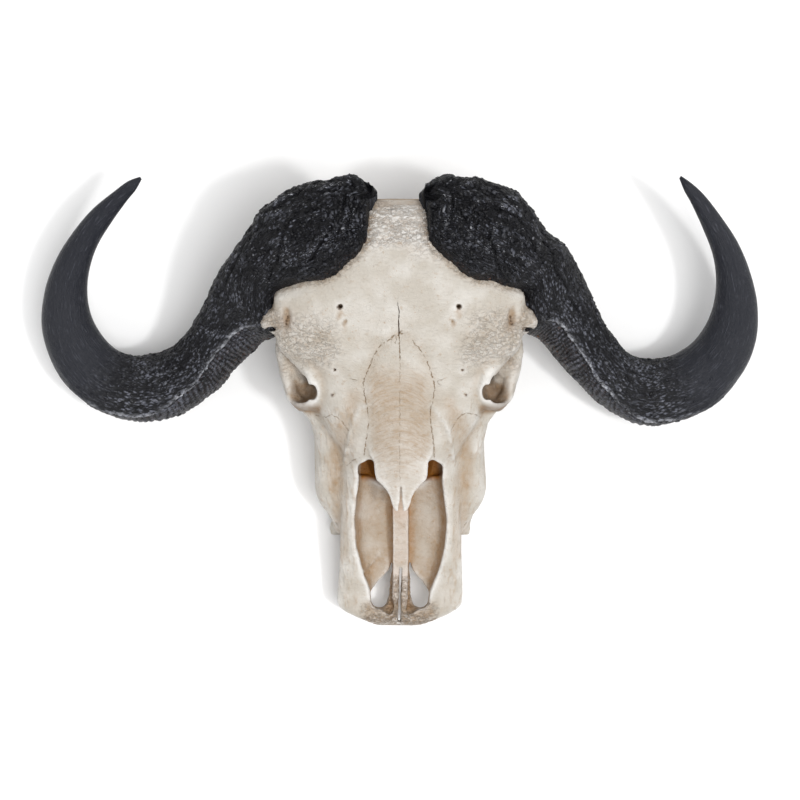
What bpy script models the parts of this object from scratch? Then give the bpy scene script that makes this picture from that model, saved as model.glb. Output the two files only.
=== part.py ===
"""Cape buffalo skull with its horn sheaths and upper cheek teeth, lying face up on those teeth.

X runs from the animal's right horn to its left one, Y from the nose to the crest, and Z up from the table.
The finished skull stands with the middle of its box at X = Y = 0 and its teeth at Z = 0.
The sizes below are in millimetres and every mesh is made in metres.
"""

import itertools
import math

import bmesh
import bpy
import numpy as np
import openvdb

MM = 0.001
GAP = 0.4
CELL = 3.2
GRID_LOW = (-170.0, -272.0, -6.0)
GRID_HIGH = (170.0, 240.0, 240.0)
SKULL_TRIANGLES = 4100
LEAST_CRUMB = 0.02
# Distances past this count as this
FAR = 60.0
LEAST_SLOPE = 0.004
# How far the two sides of the head drift from each other, and over what lengths along Y and up
DRIFT_ALONG = (1.2, 47)
DRIFT_UP = (0.8, 63, 31)

# Height of the midline of the forehead and nose: (place along Y, height)
RIDGE = (
    (232, 205), (215, 217), (200, 222), (172, 226), (140, 226), (115, 221), (95, 214), (80, 208.5), (60, 205),
    (46, 201.5), (0, 189), (-57, 170), (-100, 154), (-124, 145),
)

# Cross sections of the bone: (place along Y, half width, top, bottom)
FOREHEAD = (
    (224, 82, 206, 150), (214, 96, 217, 130), (180, 110, 226, 118), (140, 124, 226, 122), (115, 138, 221, 132),
    (95, 141, 214, 140), (72, 140, 207, 146), (54, 136, 203, 146), (42, 116, 199, 128), (28, 104, 195, 100),
    (0, 97, 186, 80), (-20, 90, 178, 76), (-45, 77, 165, 74), (-72, 62, 148, 70),
)
BRAINCASE = ((222, 76, 190, 60), (190, 80, 195, 50), (150, 66, 190, 54), (100, 56, 190, 66), (60, 48, 190, 70))
NOSE = ((80, 62, 208, 110), (46, 60, 201, 80), (0, 55, 188, 60), (-57, 50, 168, 50), (-92, 50, 146, 45))
CHEEK = (
    (16, 96, 150, 75), (-10, 99, 146, 50), (-25, 99.5, 136, 34), (-40, 98, 124, 27), (-75, 99, 110, 26),
    (-100, 100, 100, 26), (-112, 98, 94, 26), (-122, 94, 88, 26), (-131, 86.5, 82, 26), (-141, 80, 74, 27),
    (-152, 75, 68, 30),
)
MUZZLE = (
    (-60, 64, 136, 50), (-90, 67.5, 124, 42), (-110, 69, 114, 42), (-150, 70, 97, 44), (-190, 71, 80, 38),
    (-225, 73, 63, 30), (-237, 73.5, 57, 28), (-243, 71.5, 54, 27), (-247, 67, 52, 26), (-252, 57, 49, 26),
    (-258, 45, 46, 26), (-262, 34, 43, 27), (-265, 24, 41, 28),
)

# How square each body's sections are, how smoothly they run on, and how round its ends are
BODY = {
    "forehead": (2.7, 6, 16), "braincase": (2.5, 9, 18), "nose": (2.3, 9, 10), "cheek": (3.4, 4, 6),
    "muzzle": (3.4, 3, 4), "nasal_opening": (5.0, 4, 2),
}

# How smoothly each line along Y is run
SMOOTHING = {"bar": 3, "ridge": 9, "nasal_bones": 1, "vomer": 5}

# How far each limb is stretched along X, Y and Z; an upright one cuts right through
SQUASH = {
    "upright": (1, 1, 400), "arch": (1, 1, 1.3), "skull_base": (1.2, 1, 0.8), "paracondylar": (1, 1.3, 1),
    "pterygoid": (0.36, 1, 1),
}

# Rounded forms of the outside: middle and half sizes
TEMPLE_HOLLOW = ((120, 118, 112), (50, 44, 52))
CREST_SWELL = ((0, 186, 122), (98, 38, 80))

# The bars beside the open nose: where their ridge lies, how far out they fall from it, where their shaping ends
# on the inside and at the back, how fast it lifts off there, and how steeply they fall along Y
BAR_RIDGE = 55
BAR_REACH = 17
BAR_CLEAR = 0.6
BAR_INNER = 50
BAR_BACK = -88
BAR_LIFT = 4
BAR_SLOPE = ((-215, 0), (-196, 0.35), (-178, 0.8), (-105, 0.9), (-86, 0.4), (-72, 0))

# Nasal opening seen from above, and its floor: (place along Y, half width, top, floor)
NASAL_OPENING = ((-250, 14, 200, 44), (-240, 33, 200, 38), (-225, 37, 200, 40), (-214, 40, 200, 43),
                 (-205, 44, 200, 46), (-190, 48, 200, 50), (-170, 52.5, 200, 56), (-140, 54.5, 200, 66),
                 (-110, 50.5, 200, 80), (-86, 47.5, 200, 94))
NASAL_ROOM_BACK = -86
NOTCH_LAP = 1
NASAL_NOTCH = ((34, -84, 120, 8), (40, -82, 120, 8.5), (42, -78, 120, 6.5), (36, -74, 120, 6))
NASAL_NOTCH_FLOOR = 90
NASAL_BONES = ((84, 1), (70, 20), (57, 31), (32, 38), (0, 40), (-45, 39), (-62, 36), (-70, 31), (-86, 29.6),
               (-92, 28), (-95, 23), (-102, 17), (-111, 12.5), (-121, 10), (-127, 6))
NASAL_SPLIT = ((0, -99, 150, 0.4), (0, -114, 150, 1.2), (0, -131, 150, 3.4))
NASAL_BONE_THICKNESS = 6.4
ROOF_ARCH = 0.0085
ROOF_THICKNESS = 9
NASAL_PASSAGE = ((0, -70, 112, 44), (0, 40, 122, 38))
VOMER_TOP = (
    (0, 150), (-90, 118), (-122, 98), (-160, 80), (-186, 66), (-205, 57), (-225, 51), (-240, 48), (-253, 45),
)
VOMER_HALF = 9
VOMER_ENDS = (-253, 40)
VOMER_BOTTOM = 36

# Tapered limbs of the bone: points of (x, y, z, radius) on one side
ZYGOMATIC_ARCH = ((122, 12, 118, 7.5), (126, 50, 104, 8), (113, 100, 90, 8), (84, 146, 90, 13))
MALAR = ((124, 12, 118, 6), (109, -4, 117, 8), (91, -22, 108, 11), (80, -50, 95, 14))
ORBIT_FLOOR = ((116, 12, 108, 8), (110, 36, 97, 10), (82, 52, 106, 16))
SOCKET_FILL = ((124, 66, 148, 11), (121, 44, 139, 11), (117, 26, 131, 11), (110, 12, 120, 9))
ORBIT_BAR = ((132, 74, 158, 8), (133.5, 54, 152, 7), (129, 31, 146, 6.5), (123, 8, 137, 6), (113, -7, 127, 6))
BROW_HOOD = ((121, 72, 172, 13), (114, 50, 170, 10), (104, 36, 170, 9))
TEMPLE = ((127, 114, 184, 15), (129, 101, 182, 13))
KNOB = ((122, 92, 182, 13), (142, 94, 177, 10.5), (147, 88.5, 174, 10), (141, 84, 174, 9.5))
SKULL_BASE = ((0, 105, 70, 22), (0, 205, 60, 24))
PARACONDYLAR = ((56, 190, 70, 14), (58, 186, 30, 8.5), (56, 180, 5.9, 5.3))
PTERYGOID = ((26, -16, 54, 16), (23, 40, 52, 15), (18, 92, 54, 14))
TOOTH_RIDGE = ((70, -148, 38, 9.5), (74, -100, 38, 13), (75, -20, 40, 13))

# Openings of the same kind
THROAT = ((0, 8, 82, 15), (0, 60, 62, 16), (0, 112, 32, 17))
SPINE_HOLE = ((0, 232, 74, 19), (0, 176, 80, 17))
SIDE_HOLE = ((80, -152, 58, 4.2), (58, -132, 57, 3.4))
PALATINE_FISSURE = ((10.4, -191, 45, 0.9), (12, -200, 45, 2.2), (16, -209, 45, 4.6), (20, -218, 45, 8),
                    (23.5, -228, 45, 11), (24, -235, 45, 9.5))
FISSURE_TOP = 70

# The eye socket's rim: middle, facing, radius and thickness; and the round forms in it: middle and half sizes
ORBIT_CENTRE = (115, 28, 150)
ORBIT_FACES = (0.80, -0.38, 0.46)
ORBIT_RIM = (31.5, 6.0)
SOCKET_BOWL = ((104, 28, 139), (32, 40, 27))
SOCKET_ROOF = ((119, 55, 145), (18, 25, 13))
SOCKET_POCKET = ((111, 9, 146), (14, 12.5, 22))
TEAR_NOTCH = ((99, 9, 168), (5.5, 9, 26))
KNOB_PIT = ((127, 90, 200), (4, 12, 5))
# The hollow of the socket along the way it faces: (distance from the rim's middle, radius)
SOCKET_HOLLOW = ((-20, 21), (0, 26), (60, 28))

# Rounded forms of the base: middle and half sizes
CONDYLE = ((31, 212, 56), (20, 18, 25))
HEARING_BULLA = ((46, 156, 50), (14, 17, 15))
PALATE = ((0, -88, 4), (56, 128, 42))

# The gap between the two halves of the muzzle: width, front and back, and the heights that it is cut between
MIDLINE_SLIT = (2.6, -260.0, -196.0)
SLIT_HEIGHTS = (-30.0, 90.0)

# How wide the fillet is where each form joins the bone or is cut out of it
FILLET = {
    "temple_hollow": 14, "braincase": 16, "crest_swell": 16, "nose": 12, "cheek": 15, "muzzle": 9, "bar": 4,
    "malar": 9, "orbit_floor": 10, "orbit_rim": 8, "socket_bowl": 7, "socket": 4, "socket_roof": 8,
    "brow_hood": 7, "socket_pocket": 4, "tear_notch": 3, "socket_fill": 9, "orbit_bar": 7, "arch": 8,
    "temple": 8, "knob": 6, "knob_pit": 5, "skull_base": 12, "condyle": 7, "paracondylar": 8, "bulla": 6,
    "tooth_ridge": 8, "palate": 8, "pterygoid": 6, "throat": 5, "spine_hole": 4, "nasal_room": 3, "notch": 2,
    "nasal_bones": 2, "vomer": 4, "fissure": 2, "side_hole": 3,
}

# Horn sheaths from tip to boss. Each rib: outer edge x, y, inner edge x, y, height of its middle, half depth
HORN_RIBS = {
    "horn_left": (
        (-298, 256, -296, 253, 132, 1.5), (-312, 251, -303, 241, 129, 6), (-328, 240, -315, 227, 124, 8.5),
        (-355, 219, -334, 202, 115, 12.5), (-378, 193, -350, 177, 106, 15.5), (-398, 163, -360, 149, 96, 19),
        (-412, 128, -363, 122, 86, 22.5), (-417, 87, -359, 97, 77, 26), (-407, 46, -349, 77, 69, 29),
        (-383, 9, -335, 62, 63, 31), (-347, -18, -319, 53, 60, 32), (-298, -30, -300, 52, 60, 33),
        (-251, -18, -282, 55, 66, 34), (-213, 9, -261, 64, 80, 35), (-187, 38, -243, 84, 98, 37),
        (-158, 64, -227, 108, 119, 39), (-141, 76, -214, 130, 138, 41), (-140, 113, -200, 156, 155, 44),
        (-124, 124, -176, 184, 172, 46), (-104, 128, -152, 216, 186, 46), (-83, 134, -116, 238, 198, 44),
        (-62, 150, -81, 247, 207, 38), (-46, 162, -54, 249, 213, 29), (-40, 174, -39, 238, 218, 18),
    ),
    "horn_right": (
        (322, 257, 320, 254, 132, 1.5), (334, 249, 326, 240, 129, 6), (350, 235, 335, 225, 124, 8.5),
        (372, 208, 349, 197, 115, 12.5), (391, 180, 361, 168, 106, 15.5), (406, 146, 366, 139, 96, 19),
        (415, 109, 364, 111, 86, 22.5), (414, 68, 356, 88, 77, 26), (398, 29, 343, 69, 69, 29),
        (369, -5, 326, 56, 63, 31), (325, -28, 309, 50, 60, 32), (280, -33, 291, 48, 60, 33),
        (233, -8, 272, 52, 66, 34), (202, 23, 252, 68, 80, 35), (177, 50, 234, 93, 98, 37),
        (158, 70, 221, 119, 119, 39), (143, 80, 207, 143, 138, 41), (138, 115, 190, 171, 155, 44),
        (125, 124, 167, 189, 172, 46), (104, 131, 145, 220, 186, 46), (83, 134, 113, 240, 198, 44),
        (64, 146, 83, 248, 207, 38), (46, 160, 55, 249, 213, 29), (35, 173, 35, 239, 218, 18),
    ),
}
HOOK_RIBS = 14
HOOK_ROUNDNESS = 2.15
BOSS_ROUNDNESS = 3.6
HORN_STATIONS = 37
HORN_SIDES = 20
BOSS_CAP_DEPTH = 2.0
BOSS_CAP_SHARE = 0.86
BOSS_LUMP = 4.2
HOOK_LUMP = 1.1
LUMP_SIZE = 26.0
SMALL_LUMPS = 0.5
LUMP_SEEDS = (5, 6)
LUMPS_GROW = (6.0, 10.0)

# Where each boss rolls over the back of the crest: reach towards the midline, drop, ribs over which it grows,
# and how far across the horn it starts and how softly
ROLL_REACH = 13.0
ROLL_DROP = 7.0
ROLL_RIBS = 2.6
ROLL_START = 0.48
ROLL_SOFT = 0.16

# The sheath's fold: how far it stands over the ringed strip below it, the ribs over which it grows and fades,
# how wide the strip is round the horn, and the fold's place, as (rib, share of the width from the outer edge)
FOLD_HEIGHT = 4.6
FOLD_GROWS = (8.5, 11.0)
FOLD_FADES = (14.4, 16.2)
FOLD_STEP = 0.07
STRIP_ANGLE = 2.0
STRIP_SOFT = 1.2
FOLD_RUN = ((0, 0.03), (8, 0.03), (10, 0.05), (11, 0.15), (12, 0.27), (13, 0.35), (14, 0.385), (15, 0.365),
            (16, 0.265), (17, 0.2), (18, 0.12), (23, 0.05))

# Upper cheek teeth on one side, front to back: name, middle along Y, length, width, distance from the midline
TEETH = (("p2", -151, 17, 16, 75), ("p3", -131.5, 19, 18, 75.5), ("p4", -110.5, 20, 20, 76.5),
         ("m1", -86.5, 25, 22, 77.5), ("m2", -58, 29, 23, 78), ("m3", -26, 31, 22, 78))
TOOTH_TOP = 36.0
TOOTH_POINTS = 14
TOOTH_TAPER = 0.92
TOOTH_STRAIGHT = 0.55
TOOTH_SQUARENESS = 0.6
TOOTH_LOBES = 0.05
TOOTH_SHARP_ANGLE = 40

COLOURS = {
    "bone": ((0.78, 0.73, 0.64), 0.62),
    "horn": ((0.02, 0.02, 0.024), 0.42),
    "tooth": ((0.70, 0.70, 0.68), 0.35),
}


def blended(first, second, width):
    """Distance to two forms joined by a fillet of about this width."""
    share = np.clip(0.5 + 0.5 * (second - first) / width, 0, 1)
    return second + (first - second) * share - width * share * (1 - share)


def carved(form, tool, width):
    """Distance to the form with the tool taken out of it, its edge rounded."""
    return -blended(-form, tool, width)


class Space:
    """A grid of points around the bone, in which each form is a distance from its surface, negative inside.

    The two sides of the head are alike but for a slight natural drift, so X runs out from the midline both ways.
    """

    def __init__(self, low, high, cell):
        counts = [math.ceil((b - a) / cell) + 1 for a, b in zip(low, high)]
        x, y, z = (np.float32(a) + cell * np.arange(n, dtype=np.float32) for a, n in zip(low, counts))
        self.low = np.array(low)
        self.cell = cell
        self.y_line = y
        self.y = y[None, :, None]
        self.z = z[None, None, :]
        far, length = DRIFT_ALONG
        drift = far * np.sin(self.y / length + 1)
        far, length, tall = DRIFT_UP
        drift = drift + far * np.sin(self.z / tall + self.y / length)
        self.x = np.abs(x[:, None, None] + drift)

    def axes(self):
        return self.x, self.y, self.z

    def ball(self, centre, radii):
        """An ellipsoid."""
        offsets = [axis - c for axis, c in zip(self.axes(), centre)]
        near = np.sqrt(sum((o / r) ** 2 for o, r in zip(offsets, radii))) + 1e-4
        slope = np.sqrt(sum((o / r ** 2) ** 2 for o, r in zip(offsets, radii))) + 1e-6
        return near * (near - 1) / slope

    def limb(self, points, squash=(1, 1, 1)):
        """A tapered limb through points of (x, y, z, radius), thinned along each axis by its squash."""
        result = None
        axes = [axis / s for axis, s in zip(self.axes(), squash)]
        for start, end in itertools.pairwise(points):
            a = [value / s for value, s in zip(start, squash)]
            run = [value / s - first for value, s, first in zip(end, squash, a)]
            along = sum((axis - first) * r for axis, first, r in zip(axes, a, run))
            share = np.clip(along / sum(r * r for r in run), 0, 1)
            away = np.sqrt(sum((axis - first - share * r) ** 2 for axis, first, r in zip(axes, a, run)))
            away = away - (start[3] + (end[3] - start[3]) * share)
            result = away if result is None else np.minimum(result, away)
        return result * min(squash)

    def along(self, keys, column, soft):
        """One column of the keys, run smoothly along Y."""
        keys = sorted(keys)
        reach = 30
        line = np.arange(self.y_line[0] - reach, self.y_line[-1] + reach)
        values = np.interp(line, [key[0] for key in keys], [key[column] for key in keys])
        window = np.exp(-0.5 * (np.arange(-reach, reach + 1) / soft) ** 2)
        values = np.convolve(np.pad(values, reach, mode="edge"), window / window.sum(), "valid")
        return np.interp(self.y_line, line, values).astype(np.float32)[None, :, None]

    def loft(self, keys, power, soft, end_round):
        """A body along Y through sections of (y, half width, top, bottom), from oval to square by power."""
        half, top, bottom = (self.along(keys, column, soft) for column in (1, 2, 3))
        middle = (top + bottom) / 2
        tall = (top - bottom) / 2
        u = self.x / half
        v = np.abs(self.z - middle) / tall
        level = (u ** power + v ** power + 1e-6) ** (1 / power)
        steep = np.sqrt((u ** (power - 1) / half) ** 2 + (v ** (power - 1) / tall) ** 2 + 1e-9)
        slope = np.maximum(level ** (1 - power) * steep, LEAST_SLOPE)
        body = np.clip((level - 1) / slope, -FAR, FAR)
        ends = np.maximum(self.y - max(key[0] for key in keys), min(key[0] for key in keys) - self.y)
        return carved(body, -ends, end_round)

    def ring(self, centre, facing, radius, tube):
        """A round rim."""
        normal = np.array(facing) / np.linalg.norm(facing)
        offsets = [axis - c for axis, c in zip(self.axes(), centre)]
        height = sum(o * n for o, n in zip(offsets, normal))
        out = np.sqrt(np.maximum(sum(o * o for o in offsets) - height * height, 0))
        return np.sqrt((out - radius) ** 2 + height * height) - tube

    def mesh(self, field, name):
        """The surface where the field is zero, as a mesh in metres."""
        grid = openvdb.FloatGrid(FAR)
        grid.copyFromArray(field.astype(np.float32))
        points, quads = grid.convertToQuads(isovalue=0.0)
        mesh = bpy.data.meshes.new(name)
        mesh.from_pydata((points * self.cell + self.low) * MM, [], quads[:, ::-1].tolist())
        return mesh


def outer_bone(space):
    """Forehead, braincase, face, cheeks and muzzle, before anything is hollowed out."""
    bone = space.loft(FOREHEAD, *BODY["forehead"])
    bone = carved(bone, space.ball(*TEMPLE_HOLLOW), FILLET["temple_hollow"])
    bone = blended(bone, space.loft(BRAINCASE, *BODY["braincase"]), FILLET["braincase"])
    bone = blended(bone, space.ball(*CREST_SWELL), FILLET["crest_swell"])
    bone = blended(bone, space.loft(NOSE, *BODY["nose"]), FILLET["nose"])
    bone = blended(bone, space.loft(CHEEK, *BODY["cheek"]), FILLET["cheek"])
    bone = blended(bone, space.loft(MUZZLE, *BODY["muzzle"]), FILLET["muzzle"])
    steep = space.along(BAR_SLOPE, 1, SMOOTHING["bar"])
    top = space.along(MUZZLE, 2, SMOOTHING["bar"]) + BAR_CLEAR
    top = top - steep * np.clip(space.x - BAR_RIDGE, 0, BAR_REACH)
    top = top + BAR_LIFT * (np.maximum(BAR_INNER - space.x, 0) + np.maximum(space.y - BAR_BACK, 0))
    return carved(bone, (top - space.z) / np.sqrt(1 + steep ** 2), FILLET["bar"])


def with_orbits(space, bone):
    """Eye sockets with their rims, the bar of the cheek below them and the knob under each horn."""
    facing = np.array(ORBIT_FACES) / np.linalg.norm(ORBIT_FACES)
    hollow = [(*(np.array(ORBIT_CENTRE) + far * facing), radius) for far, radius in SOCKET_HOLLOW]
    bone = blended(bone, space.limb(MALAR), FILLET["malar"])
    bone = blended(bone, space.limb(ORBIT_FLOOR), FILLET["orbit_floor"])
    bone = blended(bone, space.ring(ORBIT_CENTRE, ORBIT_FACES, *ORBIT_RIM), FILLET["orbit_rim"])
    bone = blended(bone, space.ball(*SOCKET_BOWL), FILLET["socket_bowl"])
    bone = carved(bone, space.limb(hollow), FILLET["socket"])
    bone = blended(bone, space.ball(*SOCKET_ROOF), FILLET["socket_roof"])
    bone = blended(bone, space.limb(BROW_HOOD), FILLET["brow_hood"])
    bone = carved(bone, space.ball(*SOCKET_POCKET), FILLET["socket_pocket"])
    bone = carved(bone, space.ball(*TEAR_NOTCH), FILLET["tear_notch"])
    bone = blended(bone, space.limb(SOCKET_FILL), FILLET["socket_fill"])
    bone = blended(bone, space.limb(ORBIT_BAR), FILLET["orbit_bar"])
    bone = blended(bone, space.limb(ZYGOMATIC_ARCH, SQUASH["arch"]), FILLET["arch"])
    bone = blended(bone, space.limb(TEMPLE), FILLET["temple"])
    bone = blended(bone, space.limb(KNOB), FILLET["knob"])
    return carved(bone, space.ball(*KNOB_PIT), FILLET["knob_pit"])


def with_base(space, bone):
    """Condyles, processes beside them, hearing bullae, pterygoid plates, palate and the hole for the spine."""
    bone = blended(bone, space.limb(SKULL_BASE, SQUASH["skull_base"]), FILLET["skull_base"])
    bone = blended(bone, space.ball(*CONDYLE), FILLET["condyle"])
    bone = blended(bone, space.limb(PARACONDYLAR, SQUASH["paracondylar"]), FILLET["paracondylar"])
    bone = blended(bone, space.ball(*HEARING_BULLA), FILLET["bulla"])
    bone = blended(bone, space.limb(TOOTH_RIDGE), FILLET["tooth_ridge"])
    bone = carved(bone, space.ball(*PALATE), FILLET["palate"])
    bone = blended(bone, space.limb(PTERYGOID, SQUASH["pterygoid"]), FILLET["pterygoid"])
    bone = carved(bone, space.limb(THROAT), FILLET["throat"])
    return carved(bone, space.limb(SPINE_HOLE), FILLET["spine_hole"])


def with_nose(space, bone):
    """The nasal passage, its open front, the arched nasal bones over it and the wall down its middle."""
    arch = space.along(RIDGE, 1, SMOOTHING["ridge"]) - ROOF_ARCH * space.x ** 2
    passage = np.maximum(space.limb(NASAL_PASSAGE), space.z - arch + ROOF_THICKNESS)
    bone = carved(bone, passage, FILLET["nasal_room"])
    opening = space.loft(NASAL_OPENING, *BODY["nasal_opening"])
    bone = carved(bone, np.maximum(opening, space.y - NASAL_ROOM_BACK), FILLET["nasal_room"])
    notch = np.maximum(space.limb(NASAL_NOTCH, SQUASH["upright"]), NASAL_NOTCH_FLOOR - space.z)
    bone = carved(bone, np.maximum(notch, NASAL_ROOM_BACK - NOTCH_LAP - space.y), FILLET["notch"])
    plate = np.abs(space.z - arch + NASAL_BONE_THICKNESS / 2) - NASAL_BONE_THICKNESS / 2
    half = space.along(NASAL_BONES, 1, SMOOTHING["nasal_bones"])
    plate = carved(plate, half - space.x, FILLET["nasal_bones"])
    plate = carved(plate, space.limb(NASAL_SPLIT, SQUASH["upright"]), FILLET["nasal_bones"])
    plate = np.maximum(plate, np.maximum(space.y - NASAL_BONES[0][0], NASAL_BONES[-1][0] - space.y))
    bone = blended(bone, plate, FILLET["nasal_bones"])
    front, back = VOMER_ENDS
    wall = np.maximum(space.x - VOMER_HALF, space.z - space.along(VOMER_TOP, 1, SMOOTHING["vomer"]))
    wall = np.maximum(wall, np.maximum(front - space.y, np.maximum(space.y - back, VOMER_BOTTOM - space.z)))
    bone = blended(bone, wall, FILLET["vomer"])
    holes = np.maximum(space.limb(PALATINE_FISSURE, SQUASH["upright"]), space.z - FISSURE_TOP)
    bone = carved(bone, holes, FILLET["fissure"])
    return carved(bone, space.limb(SIDE_HOLE), FILLET["side_hole"])


def uneven(points, size, seed):
    """Smooth heights from -1 to 1 at these points, with bumps of about this size."""
    side = 64
    lattice = np.random.default_rng(seed).uniform(-1, 1, (side, side, side))
    places = points / size + side / 2
    base = np.floor(places).astype(int)
    share = places - base
    share = share * share * (3 - 2 * share)
    total = np.zeros(len(points))
    for corner in itertools.product((0, 1), repeat=3):
        weight = np.prod(np.where(corner, share, 1 - share), axis=1)
        index = (base + corner) % side
        total += weight * lattice[index[:, 0], index[:, 1], index[:, 2]]
    return total


def through(keys, places):
    """A smooth curve through evenly numbered keys, read at fractional places."""
    keys = np.array(keys, float)
    before = np.clip(np.floor(places).astype(int), 0, len(keys) - 2)
    share = (places - before)[:, None]
    a, b, c, d = (keys[np.clip(before + step, 0, len(keys) - 1)] for step in (-1, 0, 1, 2))
    slope = (c - a) / 2
    bend = a - 2.5 * b + 2 * c - 0.5 * d
    twist = (d - a) / 2 + 1.5 * (b - c)
    return b + share * (slope + share * (bend + share * twist))


def eased(value):
    """A step from 0 to 1 with smooth ends."""
    value = np.clip(value, 0, 1)
    return value * value * (3 - 2 * value)


def ramped(value, low, high):
    """The same step, from 0 at one value to 1 at another."""
    return eased((value - low) / (high - low))


def horn_rings(ribs, stations, sides):
    """Rings of points along a horn sheath, and their outward directions: two arrays of (station, side, xyz).

    The first point of each ring lies on the edge of the fold, and the last just below it.
    """
    places = np.linspace(0, len(ribs) - 1, stations)
    rib = through(ribs, places)
    outer, inner = rib[:, 0:2], rib[:, 2:4]
    centre = np.column_stack(((outer + inner) / 2, rib[:, 4]))
    half = (outer - inner) / 2
    boss = eased((places - HOOK_RIBS) / (len(ribs) - 1 - HOOK_RIBS))
    fold_share = np.interp(places, [key[0] for key in FOLD_RUN], [key[1] for key in FOLD_RUN])
    fold = np.arccos(1 - 2 * fold_share)
    turns = np.append(np.arange(sides) / sides * math.tau, math.tau - FOLD_STEP)
    angle = fold[:, None] + turns[None, :]
    bend = 2 / (HOOK_ROUNDNESS + (BOSS_ROUNDNESS - HOOK_ROUNDNESS) * boss)[:, None]
    across = np.sign(np.cos(angle)) * np.abs(np.cos(angle)) ** bend
    upward = np.sign(np.sin(angle)) * np.abs(np.sin(angle)) ** bend
    points = np.repeat(centre[:, None, :], sides + 1, axis=1)
    points[..., :2] += across[..., None] * half[:, None, :]
    points[..., 2] += upward * rib[:, 5][:, None]
    side = half / np.linalg.norm(half, axis=1)[:, None]
    out = np.dstack((side[:, None, 0] * np.cos(angle), side[:, None, 1] * np.cos(angle), np.sin(angle)))
    roll = eased((places - len(ribs) + 1 + ROLL_RIBS) / ROLL_RIBS)[:, None]
    roll = roll * eased((-across - ROLL_START) / ROLL_SOFT)
    points[..., 0] -= np.sign(centre[:, 0])[:, None] * ROLL_REACH * roll
    points[..., 2] -= ROLL_DROP * roll
    below = eased((turns - math.tau + STRIP_ANGLE) / STRIP_SOFT)
    strip = ramped(places, *FOLD_GROWS) * (1 - ramped(places, *FOLD_FADES))
    points -= out * (FOLD_HEIGHT * below[None, :, None] * strip[:, None, None])
    flat = points.reshape(-1, 3)
    large, small = LUMP_SEEDS
    lumps = uneven(flat, LUMP_SIZE, large) + SMALL_LUMPS * uneven(flat, LUMP_SIZE / 2, small)
    height = HOOK_LUMP * ramped(places, *LUMPS_GROW) + (BOSS_LUMP - HOOK_LUMP) * boss
    points += out * (lumps.reshape(points.shape[:2]) * height[:, None])[..., None]
    return points, out


def closed_rings(rings, name):
    """A mesh in metres of rings joined side to side, with a flat cap at each end."""
    stations, sides = rings.shape[:2]
    mesh = bpy.data.meshes.new(name)
    shape = bmesh.new()
    verts = [[shape.verts.new(point * MM) for point in ring] for ring in rings]
    for one, two in itertools.pairwise(verts):
        for side in range(sides):
            after = (side + 1) % sides
            shape.faces.new((one[side], one[after], two[after]))
            shape.faces.new((one[side], two[after], two[side]))
    for end, ring in ((verts[0], rings[0]), (verts[-1], rings[-1])):
        middle = shape.verts.new(ring.mean(axis=0) * MM)
        for side in range(sides):
            shape.faces.new((end[side], end[(side + 1) % sides], middle))
    bmesh.ops.recalc_face_normals(shape, faces=shape.faces)
    shape.to_mesh(mesh)
    shape.free()
    return mesh


def horn_mesh(name, grow=0.0):
    """One horn sheath, tip to boss; grow swells it for the cut that it makes in the bone."""
    points, out = horn_rings(HORN_RIBS[name], HORN_STATIONS, HORN_SIDES)
    points = points + out * grow
    last = points[-1]
    middle = last.mean(axis=0)
    step = np.array([-math.copysign(BOSS_CAP_DEPTH + grow, middle[0]), 0, 0])
    points[-1, :, 0] += math.copysign(BOSS_CAP_DEPTH / 2, middle[0])
    edge = middle + (last - middle) * BOSS_CAP_SHARE + step
    return closed_rings(np.concatenate((points, edge[None])), name)


def tooth_rings(length, width, grow=0.0):
    """Rings of a cheek tooth about its own middle: three buttresses outside and two rounded lobes inside."""
    angle = np.arange(TOOTH_POINTS) / TOOTH_POINTS * math.tau
    across = np.sign(np.cos(angle)) * np.abs(np.cos(angle)) ** TOOTH_SQUARENESS
    along = np.sign(np.sin(angle)) * np.abs(np.sin(angle)) ** TOOTH_SQUARENESS
    lobes = 1 + TOOTH_LOBES * np.cos(4 * angle)
    outline = np.column_stack((across * (width / 2 * lobes + grow), along * (length / 2 + grow)))
    rings = []
    for height, scale in ((-grow, 1.0), (TOOTH_TOP * TOOTH_STRAIGHT, 1.0), (TOOTH_TOP + grow, TOOTH_TAPER)):
        rings.append(np.column_stack((outline * scale, np.full(len(outline), height))))
    return np.array(rings)


def tooth_mesh(name, side, place, length, width, off, grow=0.0):
    """One cheek tooth in its place, with a flat grinding face on the table."""
    rings = tooth_rings(length, width, grow)
    rings[..., 0] += side * off
    rings[..., 1] += place
    return closed_rings(rings, name)


def material(name):
    colour, roughness = COLOURS[name]
    made = bpy.data.materials.new(name)
    made.use_nodes = True
    shader = made.node_tree.nodes["Principled BSDF"]
    shader.inputs["Base Color"].default_value = (*colour, 1)
    shader.inputs["Roughness"].default_value = roughness
    shader.inputs["Metallic"].default_value = 0.0
    return made


def placed(name, mesh, collection, finish=None):
    """A named object of this mesh in this collection."""
    obj = bpy.data.objects.new(name, mesh)
    collection.objects.link(obj)
    if finish:
        mesh.materials.clear()
        mesh.materials.append(finish)
        mesh.shade_smooth()
    else:
        obj.hide_render = True
        obj.display_type = "WIRE"
    return obj


def joined(meshes, name):
    """Several closed meshes as one."""
    whole = bpy.data.meshes.new(name)
    shape = bmesh.new()
    for mesh in meshes:
        shape.from_mesh(mesh)
        bpy.data.meshes.remove(mesh)
    shape.to_mesh(whole)
    shape.free()
    return whole


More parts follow.
